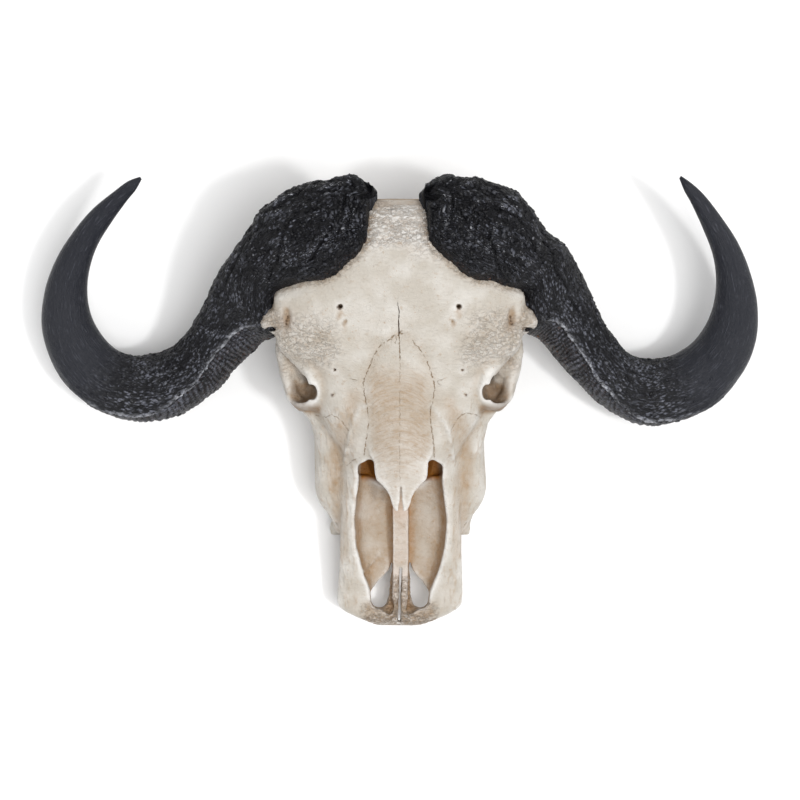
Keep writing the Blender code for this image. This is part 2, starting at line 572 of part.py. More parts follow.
def slit_mesh():
    """The thin gap between the two halves of the muzzle."""
    width, front, back = MIDLINE_SLIT
    low, high = SLIT_HEIGHTS
    mesh = bpy.data.meshes.new("slit")
    shape = bmesh.new()
    bmesh.ops.create_cube(shape, size=MM)
    bmesh.ops.scale(shape, vec=(width, back - front, high - low), verts=shape.verts)
    bmesh.ops.translate(shape, vec=(0, (front + back) / 2 * MM, (low + high) / 2 * MM), verts=shape.verts)
    shape.to_mesh(mesh)
    shape.free()
    return mesh


def applied(obj):
    """Puts what the modifiers make into the object's own mesh, and removes them."""
    graph = bpy.context.evaluated_depsgraph_get()
    made = bpy.data.meshes.new_from_object(obj.evaluated_get(graph))
    obj.modifiers.clear()
    obj.data = made


def without_crumbs(obj):
    """Drops the small loose bits that the cuts leave."""
    shape = bmesh.new()
    shape.from_mesh(obj.data)
    unseen = set(shape.verts)
    while unseen:
        island = set()
        edge = [unseen.pop()]
        while edge:
            vert = edge.pop()
            island.add(vert)
            near = {other.other_vert(vert) for other in vert.link_edges} & unseen
            unseen -= near
            edge.extend(near)
        if len(island) < LEAST_CRUMB * len(shape.verts):
            bmesh.ops.delete(shape, geom=list(island), context="VERTS")
    shape.to_mesh(obj.data)
    shape.free()


def build_skull(parts, cutters):
    """The bone, one piece, cut back where the sheaths and the teeth sit in it."""
    space = Space(GRID_LOW, GRID_HIGH, CELL)
    bone = outer_bone(space)
    for step in (with_orbits, with_base, with_nose):
        bone = step(space, bone)
    skull = placed("skull", space.mesh(bone, "skull"), parts, material("bone"))
    thin = skull.modifiers.new("thin", "DECIMATE")
    thin.ratio = SKULL_TRIANGLES / (2 * len(skull.data.polygons))
    applied(skull)
    tools = [(name, horn_mesh(name, GAP)) for name in HORN_RIBS]
    for side_name, side in (("left", -1), ("right", 1)):
        row = [tooth_mesh(name, side, *size, grow=GAP) for name, *size in TEETH]
        tools.append((f"tooth_row_{side_name}", joined(row, "tooth_row")))
    tools.append(("slit", slit_mesh()))
    for name, mesh in tools:
        cut = skull.modifiers.new(name, "BOOLEAN")
        cut.object = placed(f"cutter_{name}", mesh, cutters)
    applied(skull)
    without_crumbs(skull)
    skull.data.materials.clear()
    skull.data.materials.append(bpy.data.materials["bone"])
    return skull


def build_horns(parts):
    finish = material("horn")
    for name in HORN_RIBS:
        placed(name, horn_mesh(name), parts, finish)


def build_teeth(parts):
    finish = material("tooth")
    for side_name, side in (("left", -1), ("right", 1)):
        for name, *size in TEETH:
            node = f"tooth_{side_name}_{name}"
            tooth = placed(node, tooth_mesh(node, side, *size), parts, finish)
            tooth.data.set_sharp_from_angle(angle=math.radians(TOOTH_SHARP_ANGLE))


def stand_in_middle(parts):
    """Moves every piece so that the whole skull's box is centred over the origin and stands at zero."""
    points = []
    for obj in parts.objects:
        flat = np.empty(len(obj.data.vertices) * 3, np.float32)
        obj.data.vertices.foreach_get("co", flat)
        points.append(flat.reshape(-1, 3))
    every = np.concatenate(points)
    low, high = every.min(axis=0), every.max(axis=0)
    shift = np.array([-(low[0] + high[0]) / 2, -(low[1] + high[1]) / 2, -low[2]])
    for obj in parts.objects:
        for vert in obj.data.vertices:
            vert.co += type(vert.co)(shift)
    print("moved by", [round(float(value), 6) for value in shift], "size", (high - low).round(5).tolist())


def main():
    for obj in list(bpy.data.objects):
        bpy.data.objects.remove(obj)
    parts = bpy.data.collections.new("cape_buffalo_skull")
    cutters = bpy.data.collections.new("cutters")
    for collection in (parts, cutters):
        bpy.context.scene.collection.children.link(collection)
    build_skull(parts, cutters)
    build_horns(parts)
    build_teeth(parts)
    stand_in_middle(parts)
    for obj in parts.objects:
        obj.data.calc_loop_triangles()
        print(obj.name, len(obj.data.loop_triangles), "triangles")


if __name__ == "__main__":
    main()
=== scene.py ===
"""Cape buffalo skull with horn sheaths and cheek teeth: fine bone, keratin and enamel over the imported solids.

X runs from the animal's right horn to its left, Y from the nose to the crest, Z up from the table.
Sizes in the classes are millimetres, and every mesh is made in metres.
"""

from __future__ import annotations

import itertools
import logging
import math
import sys
from dataclasses import dataclass, field
from enum import Enum
from typing import NamedTuple

import bmesh
import bpy
import numpy as np
import openvdb
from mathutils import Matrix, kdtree

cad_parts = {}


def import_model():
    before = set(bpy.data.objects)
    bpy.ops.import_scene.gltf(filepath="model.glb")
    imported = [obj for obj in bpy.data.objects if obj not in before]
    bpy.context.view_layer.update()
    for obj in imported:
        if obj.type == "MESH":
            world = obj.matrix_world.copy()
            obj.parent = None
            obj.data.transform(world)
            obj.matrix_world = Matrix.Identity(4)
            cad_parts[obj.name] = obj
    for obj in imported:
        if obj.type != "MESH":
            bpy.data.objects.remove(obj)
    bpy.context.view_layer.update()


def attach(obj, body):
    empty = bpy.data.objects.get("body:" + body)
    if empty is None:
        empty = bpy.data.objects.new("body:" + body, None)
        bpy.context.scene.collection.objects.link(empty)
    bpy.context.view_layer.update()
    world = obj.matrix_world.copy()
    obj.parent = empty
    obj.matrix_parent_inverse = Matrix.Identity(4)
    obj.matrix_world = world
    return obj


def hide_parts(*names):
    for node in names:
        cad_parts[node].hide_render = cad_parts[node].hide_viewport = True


LOG = logging.getLogger("buffalo_skull")
MM = 0.001
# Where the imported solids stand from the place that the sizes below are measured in
STAND = (0.453, 4.031, 0.0)
Points = tuple[tuple[float, ...], ...]
Array = np.ndarray


class Side(Enum):
    """The side of the picture that a paired piece is on."""

    LEFT = -1
    RIGHT = 1

    @property
    def word(self) -> str:
        """The side's name in a piece's name."""
        return self.name.lower()


class Slot(Enum):
    """The record's material slots."""

    BONE = "bone"
    HORN = "horn"
    TOOTH = "tooth"


def linear(colour: str, alpha: float = 1.0) -> tuple[float, float, float, float]:
    """Turn an sRGB hex colour to linear.

    Args:
        colour: Six hex digits with a leading hash.
        alpha: The fourth value.

    Returns:
        Linear red, green, blue and alpha.
    """
    parts = [int(colour[place : place + 2], 16) / 255 for place in (1, 3, 5)]
    red, green, blue = (p / 12.92 if p <= 0.04045 else ((p + 0.055) / 1.055) ** 2.4 for p in parts)
    return red, green, blue, alpha


class Kind(NamedTuple):
    """A kind of node: its type, its settings, the inputs that its values go to in order, and what it gives."""

    type: str
    settings: tuple = ()
    inputs: tuple = (0, 1, 2, 3, 4)
    output: int | str = 0


KINDS = {
    "product": Kind("ShaderNodeMath", (("operation", "MULTIPLY"),)),
    "product_clipped": Kind("ShaderNodeMath", (("operation", "MULTIPLY"), ("use_clamp", True))),
    "product_plus": Kind("ShaderNodeMath", (("operation", "MULTIPLY_ADD"),)),
    "product_plus_clipped": Kind("ShaderNodeMath", (("operation", "MULTIPLY_ADD"), ("use_clamp", True))),
    "sum": Kind("ShaderNodeMath", (("operation", "ADD"),)),
    "difference": Kind("ShaderNodeMath", (("operation", "SUBTRACT"),)),
    "absolute": Kind("ShaderNodeMath", (("operation", "ABSOLUTE"),)),
    "vector_product_plus": Kind("ShaderNodeVectorMath", (("operation", "MULTIPLY_ADD"),)),
    "share": Kind("ShaderNodeMapRange", (("interpolation_type", "SMOOTHSTEP"),)),
    "between": Kind("ShaderNodeMapRange", (), (0, 3, 4)),
    "mix": Kind("ShaderNodeMix", (("data_type", "RGBA"),), (0, 6, 7), 2),
    "split": Kind("ShaderNodeSeparateColor"),
    "place": Kind("ShaderNodeTexCoord", (), (), "Object"),
    "stretch": Kind("ShaderNodeMapping", (), (0, 3)),
    "noise": Kind("ShaderNodeTexNoise"),
    "cells": Kind("ShaderNodeTexVoronoi"),
    "random": Kind("FunctionNodeRandomValue", (("data_type", "FLOAT"),), (2, 3), 1),
}


def add(tree: bpy.types.NodeTree, kind: str, *values: object, out: int | str | None = None, **named: object):
    """Add one node to a tree, with its settings, its values and its links.

    Args:
        tree: The tree that gets the node.
        kind: A short name from KINDS, or the node's type.
        *values: Sockets to link or values to set, in the order of the kind's inputs.
        out: The output wanted back, where it isn't the kind's own.
        **named: Sockets or values for inputs by name, with a capital, and the node's own settings, without.

    Returns:
        The output socket, or the node where it has none.
    """
    form = KINDS.get(kind, Kind(kind))
    node = tree.nodes.new(form.type)
    feeds = dict(zip(form.inputs, values))
    feeds.update({key: value for key, value in named.items() if key[0].isupper()})
    for key, value in (*form.settings, *named.items()):
        if key not in feeds:
            setattr(node, key, value)
    for key, value in feeds.items():
        if isinstance(value, bpy.types.NodeSocket):
            tree.links.new(value, node.inputs[key])
        else:
            node.inputs[key].default_value = value
    return node.outputs[form.output if out is None else out] if len(node.outputs) else node


def read_from(tree: bpy.types.NodeTree, name: str, out: str = "Fac"):
    """Read one of the mesh's own numbers, vectors or colours by its name in a material."""
    return add(tree, "ShaderNodeAttribute", out=out, attribute_name=name)


def started(name: str) -> tuple[bpy.types.Material, bpy.types.NodeTree, bpy.types.Node]:
    """Start a material, and give it with its tree and its shader."""
    made = bpy.data.materials.new(name)
    made.use_nodes = True
    return made, made.node_tree, made.node_tree.nodes["Principled BSDF"]


def eased(value: Array) -> Array:
    """A step from 0 to 1 with smooth ends."""
    value = np.clip(value, 0, 1)
    return value * value * (3 - 2 * value)


def band(value: Array, low: float, high: float, soft: float) -> Array:
    """A share of 1 between two values, falling to 0 over a soft edge.

    Args:
        value: What is tested.
        low: The band's lower edge.
        high: The band's upper edge.
        soft: How far the edges fade.

    Returns:
        The share at each value.
    """
    return eased((value - low) / soft + 0.5) * eased((high - value) / soft + 0.5)


def uneven(points: Array, size: float | tuple, seed: int) -> Array:
    """Smooth heights from -1 to 1.

    Args:
        points: Places, as rows of three.
        size: How wide the bumps are, or their width along each axis.
        seed: Which set of bumps.

    Returns:
        One height a point.
    """
    side = 64
    lattice = np.random.default_rng(seed).uniform(-1, 1, (side, side, side))
    places = points / np.asarray(size, float) + side / 2
    base = np.floor(places).astype(int)
    share = places - base
    share = share * share * (3 - 2 * share)
    total = np.zeros(len(points))
    for corner in itertools.product((0, 1), repeat=3):
        weight = np.prod(np.where(corner, share, 1 - share), axis=1)
        index = (base + corner) % side
        total += weight * lattice[index[:, 0], index[:, 1], index[:, 2]]
    return total


def ridged(points: Array, size: float | tuple, seed: int) -> Array:
    """Sharp ridges, 1 along their tops and falling towards 0.

    Args:
        points: Places, as rows of three.
        size: How wide the bumps are.
        seed: Which set of ridges.

    Returns:
        One height a point.
    """
    return 1 - np.clip(np.abs(uneven(points, size, seed)) * 2.4, 0, 1)


def through(keys: Points, places: Array) -> Array:
    """Read a smooth curve through evenly numbered keys.

    Args:
        keys: The points that it passes.
        places: Fractional numbers along the keys.

    Returns:
        A row for each place.
    """
    rows = np.array(keys, float)
    before = np.clip(np.floor(places).astype(int), 0, len(rows) - 2)
    share = (places - before)[:, None]
    a, b, c, d = (rows[np.clip(before + step, 0, len(rows) - 1)] for step in (-1, 0, 1, 2))
    slope = (c - a) / 2
    bend = a - 2.5 * b + 2 * c - 0.5 * d
    twist = (d - a) / 2 + 1.5 * (b - c)
    return b + share * (slope + share * (bend + share * twist))


def line_reach(plan: Array, line: Points) -> tuple[Array, Array]:
    """Measure how far points lie from a line seen from above.

    Args:
        plan: Points as rows of x and y.
        line: The line's corners.

    Returns:
        The distance to each point's left of the line or, below zero, its right, and the distance past its ends.
    """
    best = np.full(len(plan), np.inf)
    signed = np.zeros(len(plan))
    past = np.zeros(len(plan))
    for first, second in itertools.pairwise(np.array(line, float)):
        run = second - first
        length = np.linalg.norm(run)
        away = plan - first
        along = away @ run / length
        across = (run[0] * away[:, 1] - run[1] * away[:, 0]) / length
        over = np.maximum(np.maximum(-along, along - length), 0)
        total = np.hypot(across, over)
        nearer = total < best
        best = np.where(nearer, total, best)
        signed = np.where(nearer, across, signed)
        past = np.where(nearer, over, past)
    return signed, past


def solid_mesh(name: str, points: Array, faces: list) -> bpy.types.Mesh:
    """Make a closed mesh in metres that faces outwards.

    Args:
        name: The mesh's name.
        points: Places in millimetres.
        faces: Corner numbers of each face.

    Returns:
        The mesh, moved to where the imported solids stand.
    """
    mesh = bpy.data.meshes.new(name)
    mesh.from_pydata(((points + np.array(STAND)) * MM).tolist(), [], faces)
    shape = bmesh.new()
    shape.from_mesh(mesh)
    bmesh.ops.recalc_face_normals(shape, faces=shape.faces)
    if shape.calc_volume(signed=True) < 0:
        bmesh.ops.reverse_faces(shape, faces=shape.faces)
    shape.to_mesh(mesh)
    shape.free()
    mesh.shade_smooth()
    return mesh


def paint(mesh: bpy.types.Mesh, name: str, values: Array) -> None:
    """Store a number, vector or colour at each point of a mesh for its material to read.

    Args:
        mesh: The mesh that gets it.
        name: The attribute's name.
        values: One row a point, with 1, 3 or 4 numbers.
    """
    values = np.asarray(values, np.float32)
    columns = values.shape[1] if values.ndim == 2 else 1
    kind, key = {1: ("FLOAT", "value"), 3: ("FLOAT_VECTOR", "vector"), 4: ("FLOAT_COLOR", "color")}[columns]
    mesh.attributes.new(name, kind, "POINT").data.foreach_set(key, values.ravel())


def points_of(mesh: bpy.types.Mesh) -> Array:
    """The points of a mesh in millimetres, in the place that the sizes are measured in."""
    flat = np.empty(len(mesh.vertices) * 3, np.float32)
    mesh.vertices.foreach_get("co", flat)
    return flat.reshape(-1, 3) / MM - np.array(STAND)


def normals_of(mesh: bpy.types.Mesh) -> Array:
    """The outward direction at each point of a mesh."""
    flat = np.empty(len(mesh.vertices) * 3, np.float32)
    mesh.vertex_normals.foreach_get("vector", flat)
    return flat.reshape(-1, 3)


def wear(
    name: str, mesh: bpy.types.Mesh, material: bpy.types.Material, slot: Slot, *nodes: str
) -> bpy.types.Object:
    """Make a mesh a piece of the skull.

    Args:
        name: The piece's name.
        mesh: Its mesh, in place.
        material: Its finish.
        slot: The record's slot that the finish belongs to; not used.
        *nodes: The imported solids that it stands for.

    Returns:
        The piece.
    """
    mesh.materials.clear()
    mesh.materials.append(material)
    piece = bpy.data.objects.new(name, mesh)
    bpy.context.scene.collection.objects.link(piece)
    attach(piece, "root")
    if nodes:
        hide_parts(*nodes)
    LOG.info("%s: %d points, %d faces", name, len(mesh.vertices), len(mesh.polygons))
    return piece


def blended(first: Array, second: Array, width: float) -> Array:
    """Join two distance fields with a fillet.

    Args:
        first: Distance to one form.
        second: Distance to the other.
        width: How wide the fillet is.

    Returns:
        Distance to both.
    """
    share = np.clip(0.5 + 0.5 * (second - first) / width, 0, 1)
    return second + (first - second) * share - width * share * (1 - share)


def carved(form: Array, tool: Array, width: float) -> Array:
    """Take a tool out of a form.

    Args:
        form: Distance to the form.
        tool: Distance to the tool.
        width: How round the edge is.

    Returns:
        Distance to what is left.
    """
    return -blended(-form, tool, width)


class Space:
    """A grid of points around the bone, in which a form is its distance, negative inside."""

    def __init__(self, low: tuple, high: tuple, cell: float) -> None:
        """Lay the grid out.

        Args:
            low: Its lowest corner.
            high: Its highest corner.
            cell: The distance between points.
        """
        counts = [math.ceil((b - a) / cell) + 1 for a, b in zip(low, high)]
        step = np.float32(cell)
        x, y, z = (np.float32(a) + step * np.arange(n, dtype=np.float32) for a, n in zip(low, counts))
        self.low = np.array(low)
        self.cell = cell
        self.y_line = y
        self.y = y[None, :, None]
        self.z = z[None, None, :]
        self.x = np.abs(x[:, None, None] + drift(self.y, self.z))

    def ball(self, centre: tuple, radii: tuple) -> Array:
        """Distance to an ellipsoid.

        Args:
            centre: Its middle.
            radii: Its half sizes.

        Returns:
            The distance at each point.
        """
        offsets = [axis - c for axis, c in zip((self.x, self.y, self.z), centre)]
        near = np.sqrt(sum((o / r) ** 2 for o, r in zip(offsets, radii))) + 1e-4
        slope = np.sqrt(sum((o / r**2) ** 2 for o, r in zip(offsets, radii))) + 1e-6
        return near * (near - 1) / slope

    def limb(self, points: Points, squash: tuple = (1, 1, 1)) -> Array:
        """Distance to a tapered limb.

        Args:
            points: Its joints, as x, y, z and radius.
            squash: How much it is thinned along each axis.

        Returns:
            The distance at each point.
        """
        result = None
        axes = [axis / np.float32(s) for axis, s in zip((self.x, self.y, self.z), squash)]
        for start, end in itertools.pairwise(points):
            a = [np.float32(value / s) for value, s in zip(start, squash)]
            run = [np.float32(value / s) - first for value, s, first in zip(end, squash, a)]
            share = sum((axis - first) * r for axis, first, r in zip(axes, a, run)) / sum(r * r for r in run)
            share = np.clip(share, 0, 1)
            away = np.sqrt(sum((axis - first - share * r) ** 2 for axis, first, r in zip(axes, a, run)))
            away = away - (start[3] + (end[3] - start[3]) * share)
            result = away if result is None else np.minimum(result, away)
        return result * min(squash)

    def along(self, keys: Points, column: int, soft: float) -> Array:
        """Run one column of the keys smoothly along Y.

        Args:
            keys: Rows that start with a place along Y.
            column: The one that is read.
            soft: How far it is smoothed.

        Returns:
            The value along the grid's Y.
        """
        rows = sorted(keys)
        reach = 30
        line = np.arange(self.y_line[0] - reach, self.y_line[-1] + reach)
        values = np.interp(line, [key[0] for key in rows], [key[column] for key in rows])
        window = np.exp(-0.5 * (np.arange(-reach, reach + 1) / soft) ** 2)
        values = np.convolve(np.pad(values, reach, mode="edge"), window / window.sum(), "valid")
        return np.interp(self.y_line, line, values).astype(np.float32)[None, :, None]

    def loft(self, keys: Points, power: float, soft: float, end_round: float) -> Array:
        """Distance to a body along Y.

        Args:
            keys: Cross sections, as y, half width, top and bottom.
            power: 2 for an oval, more for a square.
            soft: How far the sections are smoothed.
            end_round: How round its ends are.

        Returns:
            The distance at each point.
        """
        half, top, bottom = (self.along(keys, column, soft) for column in (1, 2, 3))
        tall = (top - bottom) / 2
        u = self.x / half
        v = np.abs(self.z - (top + bottom) / 2) / tall
        level = (u**power + v**power + 1e-6) ** (1 / power)
        steep = (u ** (power - 1) / half) ** 2 + (v ** (power - 1) / tall) ** 2
        slope = level ** (1 - power) * np.sqrt(steep + 1e-9)
        body = np.clip((level - 1) / np.maximum(slope, 0.004), -60, 60)
        ends = np.maximum(self.y - max(key[0] for key in keys), min(key[0] for key in keys) - self.y)
        return carved(body, -ends, end_round)

    def softened(self, form: Array, reach: int) -> Array:
        """Blur a distance over a box of cells, so that it is above zero at bulges and below zero in hollows.

        Args:
            form: The distance at each point.
            reach: How many cells it blurs over, either way.

        Returns:
            The blurred distance.
        """
        size = 2 * reach + 1
        for axis in range(3):
            line = np.moveaxis(form, axis, 0)
            line = np.concatenate((np.repeat(line[:1], reach + 1, 0), line, np.repeat(line[-1:], reach, 0)))
            total = np.cumsum(line, axis=0, dtype=np.float64)
            form = np.moveaxis((total[size:] - total[:-size]) / size, 0, axis)
        return form.astype(np.float32)

    def read(self, form: Array, points: Array) -> Array:
        """The value of a grid at each point, run evenly between its cells."""
        places = np.clip((points - self.low) / self.cell, 0, np.array(form.shape) - 1.001)
        base = np.floor(places).astype(int)
        share = places - base
        total = np.zeros(len(points))
        for corner in itertools.product((0, 1), repeat=3):
            weight = np.prod(np.where(corner, share, 1 - share), axis=1)
            total += weight * form[tuple((base + corner).T)]
        return total

    def settled(self, form: Array, points: Array) -> Array:
        """Move points that lie near a form's surface on to it.

        Args:
            form: The distance at each cell.
            points: Where they are.

        Returns:
            Where they end.
        """
        for _ in range(3):
            steps = np.eye(3) * self.cell * 0.5
            rise = [self.read(form, points + step) - self.read(form, points - step) for step in steps]
            slope = np.stack(rise, axis=1) / self.cell
            steep = np.maximum((slope**2).sum(axis=1), 0.25)
            move = self.read(form, points) / steep
            points = points - slope * np.clip(move, -0.6, 0.6)[:, None]
        return points

    def ring(self, centre: tuple, facing: Array, radius: float, tube: float) -> Array:
        """Distance to a round rim.

        Args:
            centre: Its middle.
            facing: The direction that it faces, one long.
            radius: The rim's radius.
            tube: The rim's thickness.

        Returns:
            The distance at each point.
        """
        offsets = [axis - c for axis, c in zip((self.x, self.y, self.z), centre)]
        height = sum(o * np.float32(n) for o, n in zip(offsets, facing))
        out = np.sqrt(np.maximum(sum(o * o for o in offsets) - height * height, 0))
        return np.sqrt((out - radius) ** 2 + height * height) - tube


def drift(y: Array, z: Array) -> Array:
    """How far the midline strays from straight.

    Args:
        y: Places along the head.
        z: Heights.

    Returns:
        The offset along X.
    """
    return 1.2 * np.sin(y / 47 + 1) + 0.8 * np.sin(z / 31 + y / 63)


@dataclass(frozen=True)
class BoneFinish:
    """Dry bleached bone: matt and chalky, ivory on open faces, tan where sheltered and brown in its holes, partly
    stain and partly painted shade, and chalk as painted highlight on its edges.
    """

    ivory: str = "#B9B2A7"
    chalk: str = "#DBD8D3"
    tan: str = "#A1876A"
    brown: str = "#A3650E"
    deep: str = "#3A2206"
    line: str = "#7E6444"
    roughness: float = 0.62
    ior: float = 1.54
    gloss: float = 0.35
    # How wide each pattern's marks are
    mottle_mm: float = 26.0
    fleck_mm: float = 7.0
    wrinkle_mm: float = 3.6
    striation_mm: float = 2.6
    streak_mm: float = 4.2
    grain_mm: float = 1.6
    pore_mm: float = 4.0
    prick_mm: float = 9.0
    break_mm: float = 5.5
    # The seams between bones: how wide they are, and how wide their wanderings are and how far they reach
    seam_mm: float = 0.5
    wander_mm: tuple[float, float] = (3.4, 1.7)
    # How strongly each pattern colours the bone
    chalk_tone: float = 0.4
    fleck_tone: float = 0.5
    stain_tone: tuple[float, float] = (0.5, 0.55)
    crease_tone: float = 0.85
    striation_tone: float = 0.5
    streak_tone: float = 0.45
    pore_tone: float = 0.35
    prick_tone: float = 0.55
    # How high each pattern stands, in parts of the relief
    wrinkle_relief: tuple[float, float] = (0.9, 0.3)
    wrinkle_height: float = 3.6
    striation_relief: float = 0.9
    streak_relief: float = 1.8
    grain_relief: float = 0.3
    fleck_relief: float = 0.9
    seam_relief: float = 0.7
    crack_relief: float = 1.6
    relief_mm: float = 1.3

    def make(self) -> bpy.types.Material:
        """The bone's material."""
        made, tree, shader = started("bleached_bone")
        place = add(tree, "place")
        # stain holds shares of tan, brown and near black: partly real stain, partly painted shade in hollows,
        # holes, eye sockets and under-faces
        stain = add(tree, "split", read_from(tree, "stain", "Color")).node.outputs
        form = add(tree, "split", read_from(tree, "texture", "Color")).node.outputs

        mottle = add(tree, "noise", Vector=place, Scale=1000 / self.mottle_mm, Detail=5.0)
        fleck = add(tree, "noise", Vector=place, Scale=1000 / self.fleck_mm, Detail=6.0, Roughness=0.65)
        grain = add(tree, "noise", Vector=place, Scale=1000 / self.grain_mm, Detail=3.0)
        bent = add(tree, "stretch", place, (0.7, 1.0, 1.0))
        wrinkle = add(tree, "noise", Vector=bent, Scale=1000 / self.wrinkle_mm, Detail=4.0, Roughness=0.6,
                      Distortion=0.9)
        crease = add(tree, "absolute", add(tree, "difference", wrinkle, 0.5))
        crease = add(tree, "share", crease, 0.09, 0.0)
        arc = read_from(tree, "arc", "Vector")
        striae = add(tree, "noise", Vector=arc, Scale=1 / self.striation_mm, Detail=4.0, Roughness=0.62,
                     Distortion=0.7)
        length = add(tree, "stretch", place, (1.0, 0.1, 0.7))
        streak = add(tree, "noise", Vector=length, Scale=1000 / self.streak_mm, Detail=4.0)
        pores = add(tree, "cells", Vector=place, Scale=1000 / self.pore_mm, Randomness=1.0)
        pores = add(tree, "share", pores, 0.24, 0.08)
        pricks = add(tree, "cells", Vector=place, Scale=1000 / self.prick_mm, Randomness=1.0)
        pricks = add(tree, "share", pricks, 0.075, 0.04)
        gap, crack = self.seams(tree, place)

        tan = linear(self.tan)
        # Chalk share: mottled, plus worn, which is real wear on the crest and painted highlight on convex edges and
        # raised relief
        worn = add(tree, "product_plus_clipped", add(tree, "share", mottle, 0.35, 0.7), self.chalk_tone,
                   read_from(tree, "worn"))
        colour = add(tree, "mix", worn, linear(self.ivory), linear(self.chalk))
        faint = add(tree, "product", add(tree, "share", fleck, 0.56, 0.74), self.fleck_tone)
        colour = add(tree, "mix", faint, colour, tan)
        # Tan by the first share: stain mixed with painted shade
        shade = add(tree, "product_plus", add(tree, "share", fleck, 0.2, 0.75), *self.stain_tone)
        colour = add(tree, "mix", add(tree, "product_clipped", shade, stain[0]), colour, tan)
        for pattern, mask, tone in ((crease, form[0], self.crease_tone),
                                    (add(tree, "share", striae, 0.42, 0.66), form[1], self.striation_tone),
                                    (add(tree, "share", streak, 0.5, 0.72), form[2], self.streak_tone)):
            covered = add(tree, "product", add(tree, "product", pattern, mask), tone)
            colour = add(tree, "mix", covered, colour, tan)
        # Brown and near black by the second and third shares: stain in the nose passage and pits, painted shade in
        # the holes, the passage and the eye sockets
        colour = add(tree, "mix", stain[1], colour, linear(self.brown))
        hollow = add(tree, "product", add(tree, "product", pores, form[0]), self.pore_tone)
        for covered, tone in ((hollow, self.line), (stain[2], self.deep),
                              (add(tree, "product", pricks, self.prick_tone), self.brown),
                              (gap, self.line), (crack, self.deep)):
            colour = add(tree, "mix", covered, colour, linear(tone))
        tree.links.new(colour, shader.inputs["Base Color"])
        shader.inputs["Roughness"].default_value = self.roughness
        shader.inputs["IOR"].default_value = self.ior
        shader.inputs["Specular IOR Level"].default_value = self.gloss

        rough = add(tree, "product_plus", form[0], *self.wrinkle_relief)
        height = add(tree, "product", add(tree, "product", wrinkle, rough), self.wrinkle_height)
        height = add(tree, "difference", height, add(tree, "product", crease, form[0]))
        for pattern, mask, size in ((striae, form[1], self.striation_relief),
                                    (streak, form[2], self.streak_relief),
                                    (grain, 1.0, self.grain_relief), (fleck, 1.0, self.fleck_relief)):
            part = add(tree, "product", add(tree, "product", pattern, mask), size)
            height = add(tree, "sum", height, part)
        for pattern, size in ((gap, self.seam_relief), (crack, self.crack_relief)):
            height = add(tree, "difference", height, add(tree, "product", pattern, size))
        bump = add(tree, "ShaderNodeBump", Height=height, Strength=1.0, Distance=self.relief_mm * MM)
        tree.links.new(bump, shader.inputs["Normal"])
        return made

    def seams(self, tree: bpy.types.NodeTree, place: bpy.types.NodeSocket) -> tuple:
        """Draw the seams between the bones, and the crack down the forehead.

        Args:
            tree: The material's tree.
            place: Where on the bone a point is.

        Returns:
            The seam's share and the crack's.
        """
        size, reach = self.wander_mm
        wander = add(tree, "noise", Vector=place, Scale=1000 / size, Detail=2.0)
        wander = add(tree, "product_plus", wander, 2 * reach, -reach)
        gap = add(tree, "absolute", add(tree, "sum", read_from(tree, "seam"), wander))
        gap = add(tree, "share", gap, self.seam_mm * 1.5, self.seam_mm * 0.5)
        broken = add(tree, "noise", Vector=place, Scale=1000 / self.break_mm)
        gap = add(tree, "product", gap, add(tree, "share", broken, 0.36, 0.56))
        gap = add(tree, "product", gap, read_from(tree, "seam_cover"))
        cover = read_from(tree, "crack_cover")
        jag = add(tree, "product", wander, 0.25)
        crack = add(tree, "absolute", add(tree, "sum", read_from(tree, "crack"), jag))
        crack = add(tree, "sum", crack, add(tree, "product_plus", cover, -0.9, 0.5))
        crack = add(tree, "share", crack, 0.35, 0.0)
        return gap, add(tree, "product", crack, add(tree, "share", cover, 0.02, 0.3))


